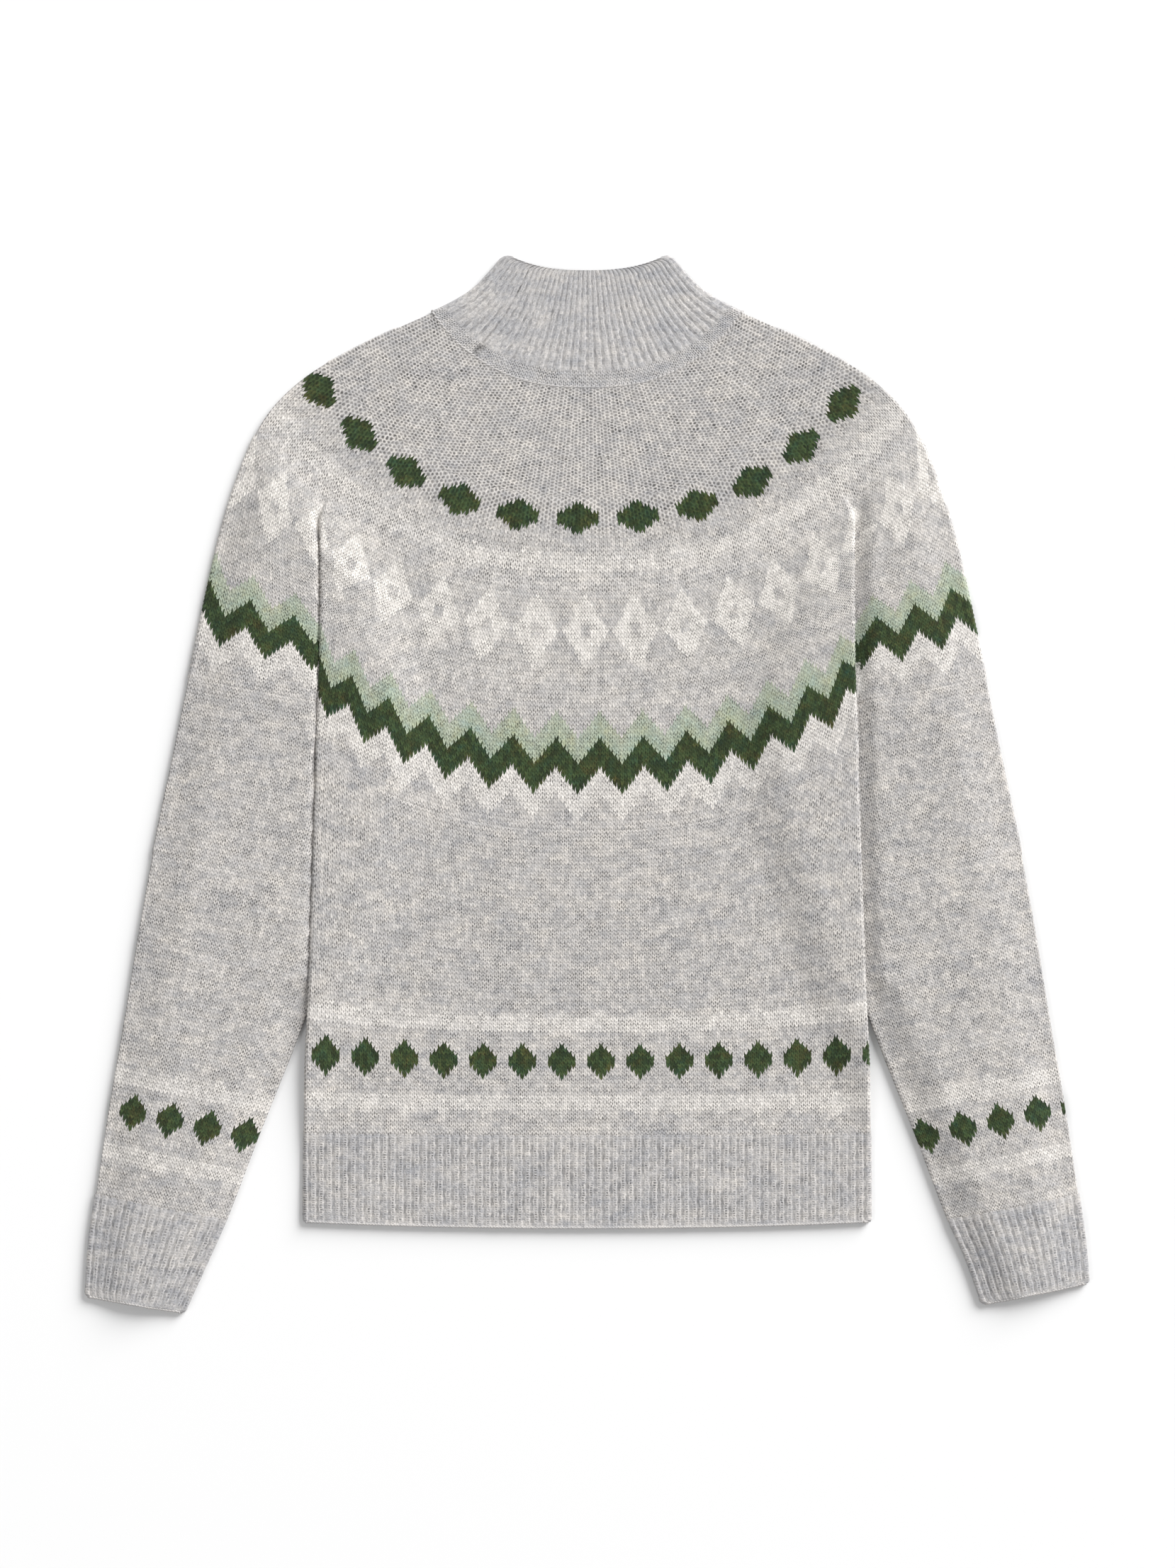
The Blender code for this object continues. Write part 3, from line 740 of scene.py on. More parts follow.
def knit_tube(name, section, zones, material, inner_rows, inner_step, middle=0.0):
    """A whole tube of cloth. section(zone) gives the function that draws the tube's rings."""
    shell = Shell()
    zones = [dict(zone, rims=()) for zone in zones]
    zones[0]["rims"] += (0,)
    zones[-1]["rims"] += (-1,)
    first = last = None
    for zone in zones:
        draw = section(zone)
        start, end = knit_zone(shell, draw, zone, middle)
        if last is None:
            first = start
        else:
            old_draw, old = last
            was, now = old_draw(np.array([old[2]]))[1][0], draw(np.array([old[2]]))[1][0]
            bridge(shell, (old[0], np.interp(old[1], was, now), old[2]), start, zone["count"])
        last = (draw, end)
    shell.rims += [first[0], end[0]]
    # the inner face, from the last course back to the first
    inside = np.linspace(end[2], first[2], inner_rows)
    first_us, last_us = (section(zone)(np.array([v]))[1][0, :-1:inner_step]
                         for zone, v in ((zones[0], first[2]), (zones[-1], end[2])))
    ring, _, normal = facing(draw, inside)
    numbers = shell.add((ring - normal * INNER)[:, :-1:inner_step])
    bridge(shell, end, (numbers[0], last_us, end[2]), zones[-1]["count"])
    us = np.append(last_us, last_us[0] + zones[-1]["count"])
    u, u_after, v = np.broadcast_arrays(us[:-1], us[1:], inside[:, None])
    uv = np.stack((quads(u, u_after), quads(v, v)), axis=3)
    shell.face(quads(numbers, np.roll(numbers, -1, axis=1)).reshape(-1, 4), uv.reshape(-1, 4, 2))
    bridge(shell, (numbers[-1], first_us, first[2]), first, zones[0]["count"])
    return shell.make(name, material)


# ------------------------------------------------------------------------------------------------
# The pieces, zone by zone
#
# first and last are a zone's courses and count its wales all round. fan is how many of those the
# right half of its upper layer has, and fine the range of those that show and are knitted out.
# relief is how far its stitches stand out, and dip how deep its ribs are notched between them.
# ROWS give y on the centre line for some courses.

YOKE_ROWS = np.array(((0, 0.2798), (34, 0.2028), (56, 0.1353), (111, -0.0333)))
YOKE_ZONES = (
    dict(kind="stitch", relief=0.4, first=0, last=11, count=228, fan=52.8),
    dict(kind="stitch", relief=0.4, first=12, last=22, count=272, fan=64.0),
    dict(kind="stitch", relief=0.4, first=23, last=34, count=316, fan=75.1),
    dict(kind="stitch", first=35, last=56, count=352, fan=86.7),
    dict(kind="stitch", first=57, last=111, count=504, pitch=2.60 * MM, fine=(-131, 130),
         edge={-1: 128.3, 1: 128.0}, sleeve_pitch={-1: 2.75 * MM, 1: 2.40 * MM}),
)
COLLAR_ROWS = np.array(((0, 0.3620), (40, 0.2918), (45, 0.2798)))
SEAM_RIB, SEAM_WALE = -13.0, -29.5     # where the collar is closed, in ribs and below them in wales
# seam: where it is drawn in there, over how many wales and how deep
COLLAR_ZONES = (
    dict(kind="rib", first=0, last=40, count=78, fan=19.1, relief=0.75, dip=0.3,
         seam=(SEAM_RIB, 0.1, 0.5 * MM)),
    dict(kind="stitch", first=41, last=45, count=176, fan=44.0, relief=0.6,
         seam=(SEAM_WALE, 0.6, 0.8 * MM)),
)
BODY_COURSES, BODY_WALES, BODY_PITCH = 78, 290, 2.775 * MM
HEM_COURSES, HEM_RIBS, HEM_PITCH = 38, 144, 5.6 * MM
SLEEVE_COURSES = 132
SLEEVE_ZONES = ((0, 45, 104, 51.0), (46, 67, 96, 47.5), (68, 89, 88, 43.5), (90, 132, 80, 39.5))
SLEEVE_MIDDLE = {-1: 13.8, 1: 18.2}    # wale in the middle of each sleeve, which sets its diamonds
CUFF_COURSES, CUFF_RIBS, CUFF_ACROSS = 36, 32, 15.2


def at_rows(v, rows):
    """Centre line y of the courses v."""
    slope_before = (rows[1, 1] - rows[0, 1]) / (rows[1, 0] - rows[0, 0])
    slope_after = (rows[-1, 1] - rows[-2, 1]) / (rows[-1, 0] - rows[-2, 0])
    y = np.interp(v, rows[:, 0], rows[:, 1])
    y = np.where(v < rows[0, 0], rows[0, 1] + slope_before * (v - rows[0, 0]), y)
    return np.where(v > rows[-1, 0], rows[-1, 1] + slope_after * (v - rows[-1, 0]), y)


def shown(zones):
    """Zones of the neck and yoke, with all the wales of their fans knitted out, edge to edge."""
    return [dict({"fine": (-zone["fan"] - 1, zone["fan"] + 1)} if "fan" in zone else {}, **zone)
            for zone in zones]


def yoke_rings(zone):
    return lambda v: neck_section(at_rows(v, YOKE_ROWS), zone)


def hidden_yoke(zone):
    """What the pleat hides of a zone: its plies and the cloth of the sleeve under the body."""
    def hidden(at, u, v):
        centre_y = at_rows(v, YOKE_ROWS)[:, 0]
        body, pleat, sleeves, _, _ = course_stretches(centre_y)
        crease = {}
        for side in (-1, 1):
            wales = neck_half(centre_y, zone, side, body, pleat, sleeves[side])[1]
            crease[side] = wales[:, BODY_POINTS - 1, None]
        beyond = np.where(u < 0, -u - crease[-1], u - crease[1]) > 1
        return beyond & (np.abs(at[:, :, 0]) < fold_of(centre_y[:, None])[0] - UNSEEN)
    return hidden


def collar_rings(zone):
    return lambda v: neck_section(at_rows(v, COLLAR_ROWS), zone)


def body_rings(zone):
    return lambda v: body_section(v / BODY_COURSES, zone)


def hem_rings(zone):
    return lambda v: body_section(v / HEM_COURSES, zone, hem=True)


def sleeve_rings(side):
    course = sleeve_plan(side)[0][SLEEVE_END] / SLEEVE_COURSES
    return lambda zone: lambda v: sleeve_section(v * course, zone, side)


def cuff_rings(side):
    start, end = sleeve_plan(side)[0][[SLEEVE_END, -1]]
    course = (end - start) / CUFF_COURSES
    return lambda zone: lambda v: sleeve_section(start + v * course, zone, side)


def hidden_sleeve(at, u, v):
    return np.abs(at[:, :, 0]) < body_half(at[:, :, 1]) - 2 * UNSEEN


# ------------------------------------------------------------------------------------------------
# Materials

def linear(code):
    """A colour as Blender wants it, from its sRGB hex code."""
    parts = [int(code[i:i + 2], 16) / 255 for i in (0, 2, 4)]
    return [c / 12.92 if c <= 0.04045 else ((c + 0.055) / 1.055) ** 2.4 for c in parts]


def add(tree, kind, inputs=(), **settings):
    """Adds a node with its settings, and sets or links its inputs, given by place or by name."""
    node = tree.nodes.new(kind)
    for name, value in settings.items():
        setattr(node, name, value)
    for key, value in inputs.items() if isinstance(inputs, dict) else enumerate(inputs):
        value = value.outputs[0] if isinstance(value, bpy.types.Node) else value
        if isinstance(value, bpy.types.NodeSocket):
            tree.links.new(value, node.inputs[key])
        elif value is not None:
            node.inputs[key].default_value = value
    return node


def chain(tree, known, lines):
    """Adds maths nodes that work on each other: name, operation, and numbers or known names."""
    for name, operation, *terms in lines:
        terms = [known[term] if isinstance(term, str) else term for term in terms]
        known[name] = add(tree, "ShaderNodeMath", terms, operation=operation)


def offset(name, value, middle):
    """How far a value is from a middle, as name, and how far past it, as name_past."""
    return (name + "_past", "SUBTRACT", value, middle), (name, "ABSOLUTE", name + "_past")


def wales_off(name, first, every):
    """How many wales a point is from the nearest of the shapes that come every so many wales."""
    return (name + "_shifted", "SUBTRACT", "column", first), (
        name, "PINGPONG", name + "_shifted", every / 2)


def diamond(name, across, down, half_across, half_down):
    """1 inside a diamond and 0 outside, from a point's distances to its middle."""
    return (
        (name + "_down", "DIVIDE", down, half_down),
        (name + "_sum", "MULTIPLY_ADD", across, 1 / half_across, name + "_down"),
        (name, "LESS_THAN", name + "_sum", 1.0),
    )


def hole(name, across, down, half_across, half_down, power):
    """How deep a point is in an oval hole: 1 in its middle, 0 at its rim and beyond."""
    return (
        (name + "_x", "DIVIDE", across, half_across),
        (name + "_y", "DIVIDE", down, half_down),
        (name + "_xx", "POWER", name + "_x", 2.0),
        (name + "_yy", "POWER", name + "_y", 2.0),
        (name + "_oval", "ADD", name + "_xx", name + "_yy"),
        (name + "_within", "SUBTRACT", 1.0, name + "_oval"),
        (name + "_clear", "MAXIMUM", name + "_within", 0.0),
        (name, "POWER", name + "_clear", power),
    )


def turned_into(name, other, share):
    """Changes a value into another one by a share."""
    return (name + "_change", "SUBTRACT", other, name), (
        name, "MULTIPLY_ADD", name + "_change", share, name)


# Wales and courses wander from stitch to stitch, across by as much as each wool says.
WANDER = (
    ("stray_u", "SUBTRACT", "wander_u", 0.5),
    ("stray_v", "SUBTRACT", "wander_v", 0.5),
    ("u", "MULTIPLY_ADD", "stray_u", "wander_across", "true_u"),
    ("v", "MULTIPLY_ADD", "stray_v", 0.8, "true_v"),
)

# The yoke is knitted more openly above its white arc, and goes over to that from course 47 up.
OPEN_KNIT = (
    ("above", "SUBTRACT", 47.0, "v"),
    ("open", "MULTIPLY", "above", 0.12),
    ("open_most", "MINIMUM", "open", 1.0),
    ("opened", "MAXIMUM", "open_most", 0.0),
)

# Where a point lies across its wale: x is 0 in the middle and 1 at both sides.
ACROSS_WALE = (
    ("column", "FLOOR", "u"),
    ("twice_u", "MULTIPLY_ADD", "u", 2.0, 1.0),
    ("x", "PINGPONG", "twice_u", 1.0),
)

# x runs from the foot of a stitch's V to its tip. rim is the distance to the edge of its leg, in
# courses. The slits are narrow ovals between one leg and the next, at the foot and at the tip,
# sunk in the bump and darkened with painted shade.
STITCH_FIELD = (
    *ACROSS_WALE,
    ("colour_v", "MULTIPLY_ADD", "x", COLOUR_LEAN, "v"),
    ("row", "FLOOR", "colour_v"),
    ("leaned_v", "MULTIPLY_ADD", "x", LEAN, "v"),
    ("rim", "PINGPONG", "leaned_v", 0.5),
    ("to_tip", "SUBTRACT", 1.0, "x"),
    ("from_end", "MINIMUM", "x", "to_tip"),
    *hole("groove", "from_end", "rim", 0.38, 0.43, 0.7),
    ("round", "MULTIPLY", "rim", 1.2),
    ("height", "SUBTRACT", "round", "groove"),
)

# Open knit is a net of thin yarn round holes, a wide one and a narrow one by turns, and each
# column of holes stands half a course above the next. The holes are sunk in the bump and darkened
# with painted shade.
NET_FIELD = (
    ("next_u", "ADD", "u", 1.0),
    ("net_x", "PINGPONG", "next_u", 1.0),
    ("net_y", "PINGPONG", "v", 0.5),
    *hole("wide_hole", "net_x", "net_y", 0.54, 0.42, 0.6),
    ("narrow_x", "SUBTRACT", 1.0, "net_x"),
    ("narrow_y", "SUBTRACT", 0.5, "net_y"),
    *hole("narrow_hole", "narrow_x", "narrow_y", 0.40, 0.40, 0.6),
    ("net", "MAXIMUM", "wide_hole", "narrow_hole"),
    *turned_into("groove", "net", "opened"),
    ("open_height", "MULTIPLY", "net", -0.8),
    *turned_into("height", "open_height", "opened"),
)

# x runs from the ridge of a rib to its groove. Down the middle of the ridge runs a ladder of holes,
# between two rails of yarn. The holes and the valleys between the ribs are sunk in the bump and
# darkened with painted shade.
RIB_FIELD = (
    *ACROSS_WALE,
    ("leaned_v", "MULTIPLY_ADD", "x", 0.3, "v"),
    ("row", "FLOOR", "leaned_v"),
    ("rim", "PINGPONG", "leaned_v", 0.5),
    ("from_rung", "SUBTRACT", 0.5, "rim"),
    *hole("ladder_full", "x", "from_rung", 0.36, 0.36, 0.6),
    ("ladder", "MULTIPLY", "ladder_full", "ladder_depth"),
    ("strand_at", "MULTIPLY", "u", 5.0),
    ("strand", "FLOOR", "strand_at"),
    ("valley", "MULTIPLY_ADD", "x", 4.5, -2.6),
    ("valley_open", "MAXIMUM", "valley", 0.0),
    ("valley_depth_and_shade", "MINIMUM", "valley_open", 0.55),
    # painted shade: the holes and the valleys darken the colour through groove
    ("groove", "MAXIMUM", "ladder", "valley_depth_and_shade"),
    ("round", "MULTIPLY", "rim", "ladder_depth"),
    ("height", "SUBTRACT", "round", "groove"),
)

# The collar is ribbed, and plain in its last courses, from 40.5 down.
COLLAR_FIELD = (
    *STITCH_FIELD,
    ("plain_groove", "MULTIPLY", "groove", 1.0),
    ("plain_height", "MULTIPLY", "height", 1.0),
    *RIB_FIELD,
    ("below", "GREATER_THAN", "v", 40.5),
    ("groove", "MULTIPLY", "groove", 0.8),
    *turned_into("groove", "plain_groove", "below"),
    *turned_into("height", "plain_height", "below"),
)

# The seam that closes the collar is a groove down one valley of the rib, sunk in the bump and
# darkened with painted shade. It opens a little at its foot, below the rib, where the wales are
# counted in stitches.
COLLAR_SEAM_BUMP_AND_SHADE = (
    *offset("from_seam", "u", SEAM_RIB),
    ("seam_near", "MULTIPLY_ADD", "from_seam", -5.0, 1.1),
    ("ribbed", "SUBTRACT", 1.0, "below"),
    ("seam_high", "MULTIPLY", "seam_near", "ribbed"),
    *offset("from_foot", "u", SEAM_WALE),
    ("foot_near", "MULTIPLY_ADD", "from_foot", -1.3, 1.8),
    ("foot_most", "MINIMUM", "foot_near", 1.2),
    ("seam_low", "MULTIPLY", "foot_most", "below"),
    ("seam", "MAXIMUM", "seam_high", "seam_low"),
    ("groove", "MAXIMUM", "groove", "seam"),
)


def cast_off_end(courses):
    """The rib comes in over its first courses and fades over its last three."""
    return (
        ("to_end", "SUBTRACT", float(courses), "v"),
        ("fading", "MULTIPLY", "to_end", 0.3),
        ("coming", "MULTIPLY", "v", 0.5),
        ("fade_both", "MINIMUM", "fading", "coming"),
        ("fade_low", "MAXIMUM", "fade_both", 0.3),
        ("fade", "MINIMUM", "fade_low", 1.0),
        ("groove", "MULTIPLY", "groove", "fade"),
    )


YOKE_PATTERN = (
    # small dark diamonds every sixteenth wale, their side tips left out
    *wales_off("diamond_x", -3.0, 16.0),
    *offset("diamond_y", "row", 39.0),
    *diamond("pointed", "diamond_x", "diamond_y", 7.0, 3.9),
    ("blunt", "LESS_THAN", "diamond_x", 5.5),
    ("dark_diamond", "MULTIPLY", "pointed", "blunt"),
    # white arc, with a tooth one wale wide on every fourth
    *offset("from_arc", "row", 49.5),
    ("arc", "LESS_THAN", "from_arc", 2.1),
    ("tooth_wale", "FLOORED_MODULO", "column", 4.0),
    ("on_tooth", "LESS_THAN", "tooth_wale", 1.0),
    ("tooth_rows", "LESS_THAN", "from_arc", 2.6),
    ("teeth", "MULTIPLY", "on_tooth", "tooth_rows"),
    ("toothed_arc", "MAXIMUM", "arc", "teeth"),
    ("arc_white", "MULTIPLY", "toothed_arc", 0.36),
    # big pale lozenges, each with a grey dot
    *wales_off("lozenge_x", -1.0, 16.0),
    *offset("lozenge_y", "row", 65.0),
    *diamond("lozenge", "lozenge_x", "lozenge_y", 7.2, 8.6),
    ("from_dot", "MAXIMUM", "lozenge_x", "lozenge_y"),
    ("around_dot", "GREATER_THAN", "from_dot", 1.2),
    ("dotted_lozenge", "MULTIPLY", "lozenge", "around_dot"),
    ("lozenge_white", "MULTIPLY", "dotted_lozenge", 0.8),
    # zigzag in light green, dark green and white, with a peak every twelfth wale
    *wales_off("off_peak", -3.0, 12.0),
    ("zigzag_row", "ADD", "row", "off_peak"),
    *offset("from_sage", "zigzag_row", 92.5),
    ("sage_rows", "LESS_THAN", "from_sage", 3.1),
    ("sage_depth", "MULTIPLY_ADD", "from_sage_past", 0.05, 0.8),
    ("sage", "MULTIPLY", "sage_rows", "sage_depth"),
    *offset("from_dark", "zigzag_row", 99.0),
    ("zigzag", "LESS_THAN", "from_dark", 3.6),
    *offset("from_white", "zigzag_row", 105.5),
    ("white_rows", "LESS_THAN", "from_white", 3.1),
    ("zigzag_white", "MULTIPLY", "white_rows", 0.6),
    ("upper_white", "MAXIMUM", "arc_white", "lozenge_white"),
    ("white", "MAXIMUM", "upper_white", "zigzag_white"),
    ("dark", "MAXIMUM", "dark_diamond", "zigzag"),
    # the ground is paler between the arc and the zigzag
    *offset("from_pale", "v", 66.0),
    ("pale_near", "MULTIPLY_ADD", "from_pale", -0.09, 2.3),
    ("pale_most", "MINIMUM", "pale_near", 1.0),
    ("pale_least", "MAXIMUM", "pale_most", 0.0),
    ("pale", "MULTIPLY", "pale_least", 0.13),
)


def band_pattern(first_column, diamond_row, upper, lower):
    """A row of small dark diamonds every tenth wale between two white bands with teeth."""
    def toothed_band(name, outer, inner):
        return (
            (name + "_out", "SUBTRACT", outer, inner),
            (name + "_near", "LESS_THAN", name + "_out", "reach"),
            (name + "_deep", "GREATER_THAN", name + "_out", -2.5),
            (name, "MULTIPLY", name + "_near", name + "_deep"),
        )

    return (
        *wales_off("diamond_x", float(first_column), 10.0),
        *offset("diamond_y", "row", float(diamond_row)),
        *diamond("dark", "diamond_x", "diamond_y", 3.9, 4.875),
        ("tooth", "SUBTRACT", 2.0, "diamond_x"),
        ("tooth_high", "MAXIMUM", "tooth", 0.0),
        ("reach", "ADD", "tooth_high", 1.5),
        *toothed_band("upper_white", float(upper), "row"),
        *toothed_band("lower_white", "row", float(lower)),
        ("bands", "MAXIMUM", "upper_white", "lower_white"),
        ("white", "MULTIPLY", "bands", 0.5),
    )


# Noise by name: how many waves of it there are in a metre along x, y and z, its detail and its
# roughness. It runs on from one piece to the next.
NOISES = {
    "wander": ((260.0, 260.0, 260.0), 1.0, 0.5),      # no two stitches lie quite alike
    "cloud": ((40.0, 80.0, 120.0), 3.0, 0.65),        # 25 mm long and 12 mm deep
    "streak": ((80.0, 240.0, 240.0), 2.0, 0.65),      # 12 mm long and 4 mm deep
    "fibre": ((1400.0, 1400.0, 1400.0), 2.0, 0.78),   # 0.7 mm across, as coarse as it has to be
    "dye": ((85.0, 85.0, 85.0), 5.0, 0.78),           # from 12 mm down to single stitches
    "fuzz": ((150.0, 150.0, 150.0), 3.0, 0.6),        # tufts of brushed hair, 7 mm across
}

# How far the grey is from dark to light: in clouds along the courses and from leg to leg.
GREY_TONE = (
    ("clouded", "MULTIPLY_ADD", "cloud", 1.3, "base_tone"),
    ("streaked", "MULTIPLY_ADD", "streak", 0.6, "clouded"),
    ("tone", "MULTIPLY_ADD", "leg", 0.2, "streaked"),
)

# Colours laid over each other, by their shares. Dyed yarns hold fibres of other colours: brown and
# teal in the green, and in the sage straw and a misty blue-green.
BLENDS = (
    ("cloth", "tone", "light_grey"),
    ("green", "warm", "brown"), ("green", "cool", "teal"),
    ("sage", "warm", "straw"), ("sage", "cool", "mist"),
    ("cloth", "pale", "white"), ("cloth", "white", "white"),
    ("cloth", "sage", "sage"), ("cloth", "dark", "green"),
)

# How bright each point is: its fibres, its leg of yarn, and painted shade in the slit it may lie
# in.
YARN_SHADE = (
    ("fibre_tone", "MULTIPLY_ADD", "fibre", 0.4, 0.8),
    ("hair_tone", "MULTIPLY_ADD", "hair", 0.9, 0.55),
    ("hairy", "MULTIPLY", "fibre_tone", "hair_tone"),
    # the dark yarn is spun less evenly
    ("leg_range", "MULTIPLY_ADD", "dark", 0.65, 0.25),
    ("leg_off", "SUBTRACT", "leg", 0.5),
    ("leg_tone", "MULTIPLY_ADD", "leg_off", "leg_range", 1.0),
    ("spun", "MULTIPLY", "hairy", "leg_tone"),
    # brushed hair covers the slits here and there, and more of them in the dark green, so less of
    # their painted shade shows
    ("bare", "MULTIPLY_ADD", "fuzz", 3.2, -0.95),
    ("bare_most", "MINIMUM", "bare", 1.15),
    ("bare_least", "MULTIPLY_ADD", "opened", 0.45, 0.25),
    ("bare_some", "MAXIMUM", "bare_most", "bare_least"),
    ("covered", "MULTIPLY_ADD", "dark", -0.3, 1.0),
    ("shown", "MULTIPLY", "bare_some", "covered"),
    ("gap", "MULTIPLY", "groove", "shown"),
    ("gap_depth", "MULTIPLY_ADD", "opened", 0.03, "slit_depth"),
    # painted shade: the colour is darkened in the slits
    ("gap_shade", "MULTIPLY", "gap", "gap_depth"),
    ("lit_part", "SUBTRACT", 1.0, "gap_shade"),
    ("shade", "MULTIPLY", "spun", "lit_part"),
    ("fibre_height", "MULTIPLY_ADD", "fibre", 0.5, "height"),
)


def start_yarn(name, noises):
    """A material without a surface, its tree, and the noises it needs by name."""
    material = bpy.data.materials.new(name)
    material.use_nodes = True
    tree = material.node_tree
    tree.nodes.clear()
    place = add(tree, "ShaderNodeTexCoord").outputs["Object"]
    known = {}
    for key in noises:
        waves_per_metre, detail, roughness = NOISES[key]
        at = add(tree, "ShaderNodeVectorMath", (place, waves_per_metre), operation="MULTIPLY")
        known[key] = add(tree, "ShaderNodeTexNoise", {"Vector": at, "Scale": 1.0, "Detail": detail,
                                                     "Roughness": roughness})
    return material, tree, known


def blend(tree, known, colours, blends):
    """Lays colours over each other: which one changes, its share's name, and what covers it."""
    for under, share, over in blends:
        if share in known:
            mixed = add(tree, "ShaderNodeMix", {"Factor": known[share], 6: colours[under],
                                               7: colours[over]}, data_type="RGBA")
            colours[under] = mixed.outputs["Result"]


def finish_yarn(tree, colour, shade, height, strength, depth):
    """The surface of matt wool: dull all over, with a faint sheen where its hairs stand out."""
    lit = add(tree, "ShaderNodeVectorMath", {0: colour, "Scale": shade}, operation="SCALE")
    bump = add(tree, "ShaderNodeBump", {"Height": height, "Strength": strength,
                                       "Distance": depth})
    surface = add(tree, "ShaderNodeBsdfPrincipled", {
        "Base Color": lit.outputs[0], "Normal": bump, "Roughness": 0.92,
        "Specular IOR Level": 0.2, "Sheen Weight": 0.18, "Sheen Roughness": 0.55})
    add(tree, "ShaderNodeOutputMaterial", {"Surface": surface})


def wool(name, colours, slit_depth, field, pattern, wander_across=0.6, ladder_depth=0.0,
         hair_size=(4.0, 1.0, 1.0), tone=0.0):
    """Soft brushed wool, spun from pale and darker grey fibres.

    The eye sees round matt legs of yarn with slits between them, clouds of lighter and darker
    grey that run along the courses, and single fibres. The slits are darkened with painted shade,
    as dark as the slit argument says.
    """
    material, tree, known = start_yarn(name, NOISES)
    where = add(tree, "ShaderNodeUVMap", uv_map="Stitches")
    split = add(tree, "ShaderNodeSeparateXYZ", (where,))
    ways = add(tree, "ShaderNodeSeparateXYZ", (known["wander"].outputs["Color"],))
    known.update(true_u=split.outputs[0], true_v=split.outputs[1], wander_u=ways.outputs[0],
                 wander_v=ways.outputs[1], wander_across=wander_across, opened=0.0,
                 ladder_depth=ladder_depth, slit_depth=slit_depth, base_tone=tone - 0.5)
    for lines in (WANDER, field, pattern):
        chain(tree, known, lines)

    # hair lies along the wales, in strokes a quarter of a stitch wide
    hair_at = add(tree, "ShaderNodeCombineXYZ", (known["u"], known["v"], 0.0))
    hair_at = add(tree, "ShaderNodeVectorMath", (hair_at, hair_size), operation="MULTIPLY")
    known["hair"] = add(tree, "ShaderNodeTexNoise", {"Vector": hair_at, "Scale": 1.0,
                                                     "Detail": 2.0, "Roughness": 0.7})
    # each leg of yarn is spun a little lighter or darker than the next
    leg_at = add(tree, "ShaderNodeCombineXYZ", (known.get("strand", known["column"]),
                                                known["row"], 0.0))
    known["leg"] = add(tree, "ShaderNodeTexWhiteNoise", (leg_at,), noise_dimensions="2D")
    for key, slope, start in (("warm", 3.6, -1.86), ("cool", -3.6, 1.74)):
        known[key] = add(tree, "ShaderNodeMath", (known["dye"], slope, start),
                         operation="MULTIPLY_ADD", use_clamp=True)

    chain(tree, known, GREY_TONE)
    colours = dict(colours, cloth=colours["dark_grey"])
    blend(tree, known, colours, BLENDS)
    known.setdefault("dark", 0.0)
    chain(tree, known, YARN_SHADE)
    finish_yarn(tree, colours["cloth"], known["shade"], known["fibre_height"], 0.55, 0.35 * MM)
    return material


def twisted_yarn(colours):
    """The doubled yarn of seams and cast-off edges: matt, pale, with the twist's fine grooves."""
    material, tree, known = start_yarn("twisted_edge_wool", ("cloud", "fibre"))
    chain(tree, known, (
        ("tone", "MULTIPLY_ADD", "cloud", 1.1, -0.1),
        ("shade", "MULTIPLY_ADD", "fibre", 0.9, 0.5),
    ))
    colours = dict(colours, cloth=colours["dark_grey"])
    blend(tree, known, colours, BLENDS[:1])
    finish_yarn(tree, colours["cloth"], known["shade"], known["fibre"], 0.5, 0.2 * MM)
    return material


# ------------------------------------------------------------------------------------------------
# Seams and cast-off edges, laid link by link

LINK_INPUTS = (
    ("Line", "NodeSocketGeometry", None),
    ("Spacing", "NodeSocketFloat", 2.4 * MM),      # from one link to the next
    ("Length", "NodeSocketFloat", 2.6 * MM),       # of one leg of a link
    ("Yarn", "NodeSocketFloat", 1.2 * MM),         # how thick a leg is
    ("Lean", "NodeSocketFloat", 1.0),              # angle between leg and line
    ("Legs", "NodeSocketInt", 2),                  # 2 lean both ways, like a V; 1 makes a cord
    ("Yarn material", "NodeSocketMaterial", None),
)


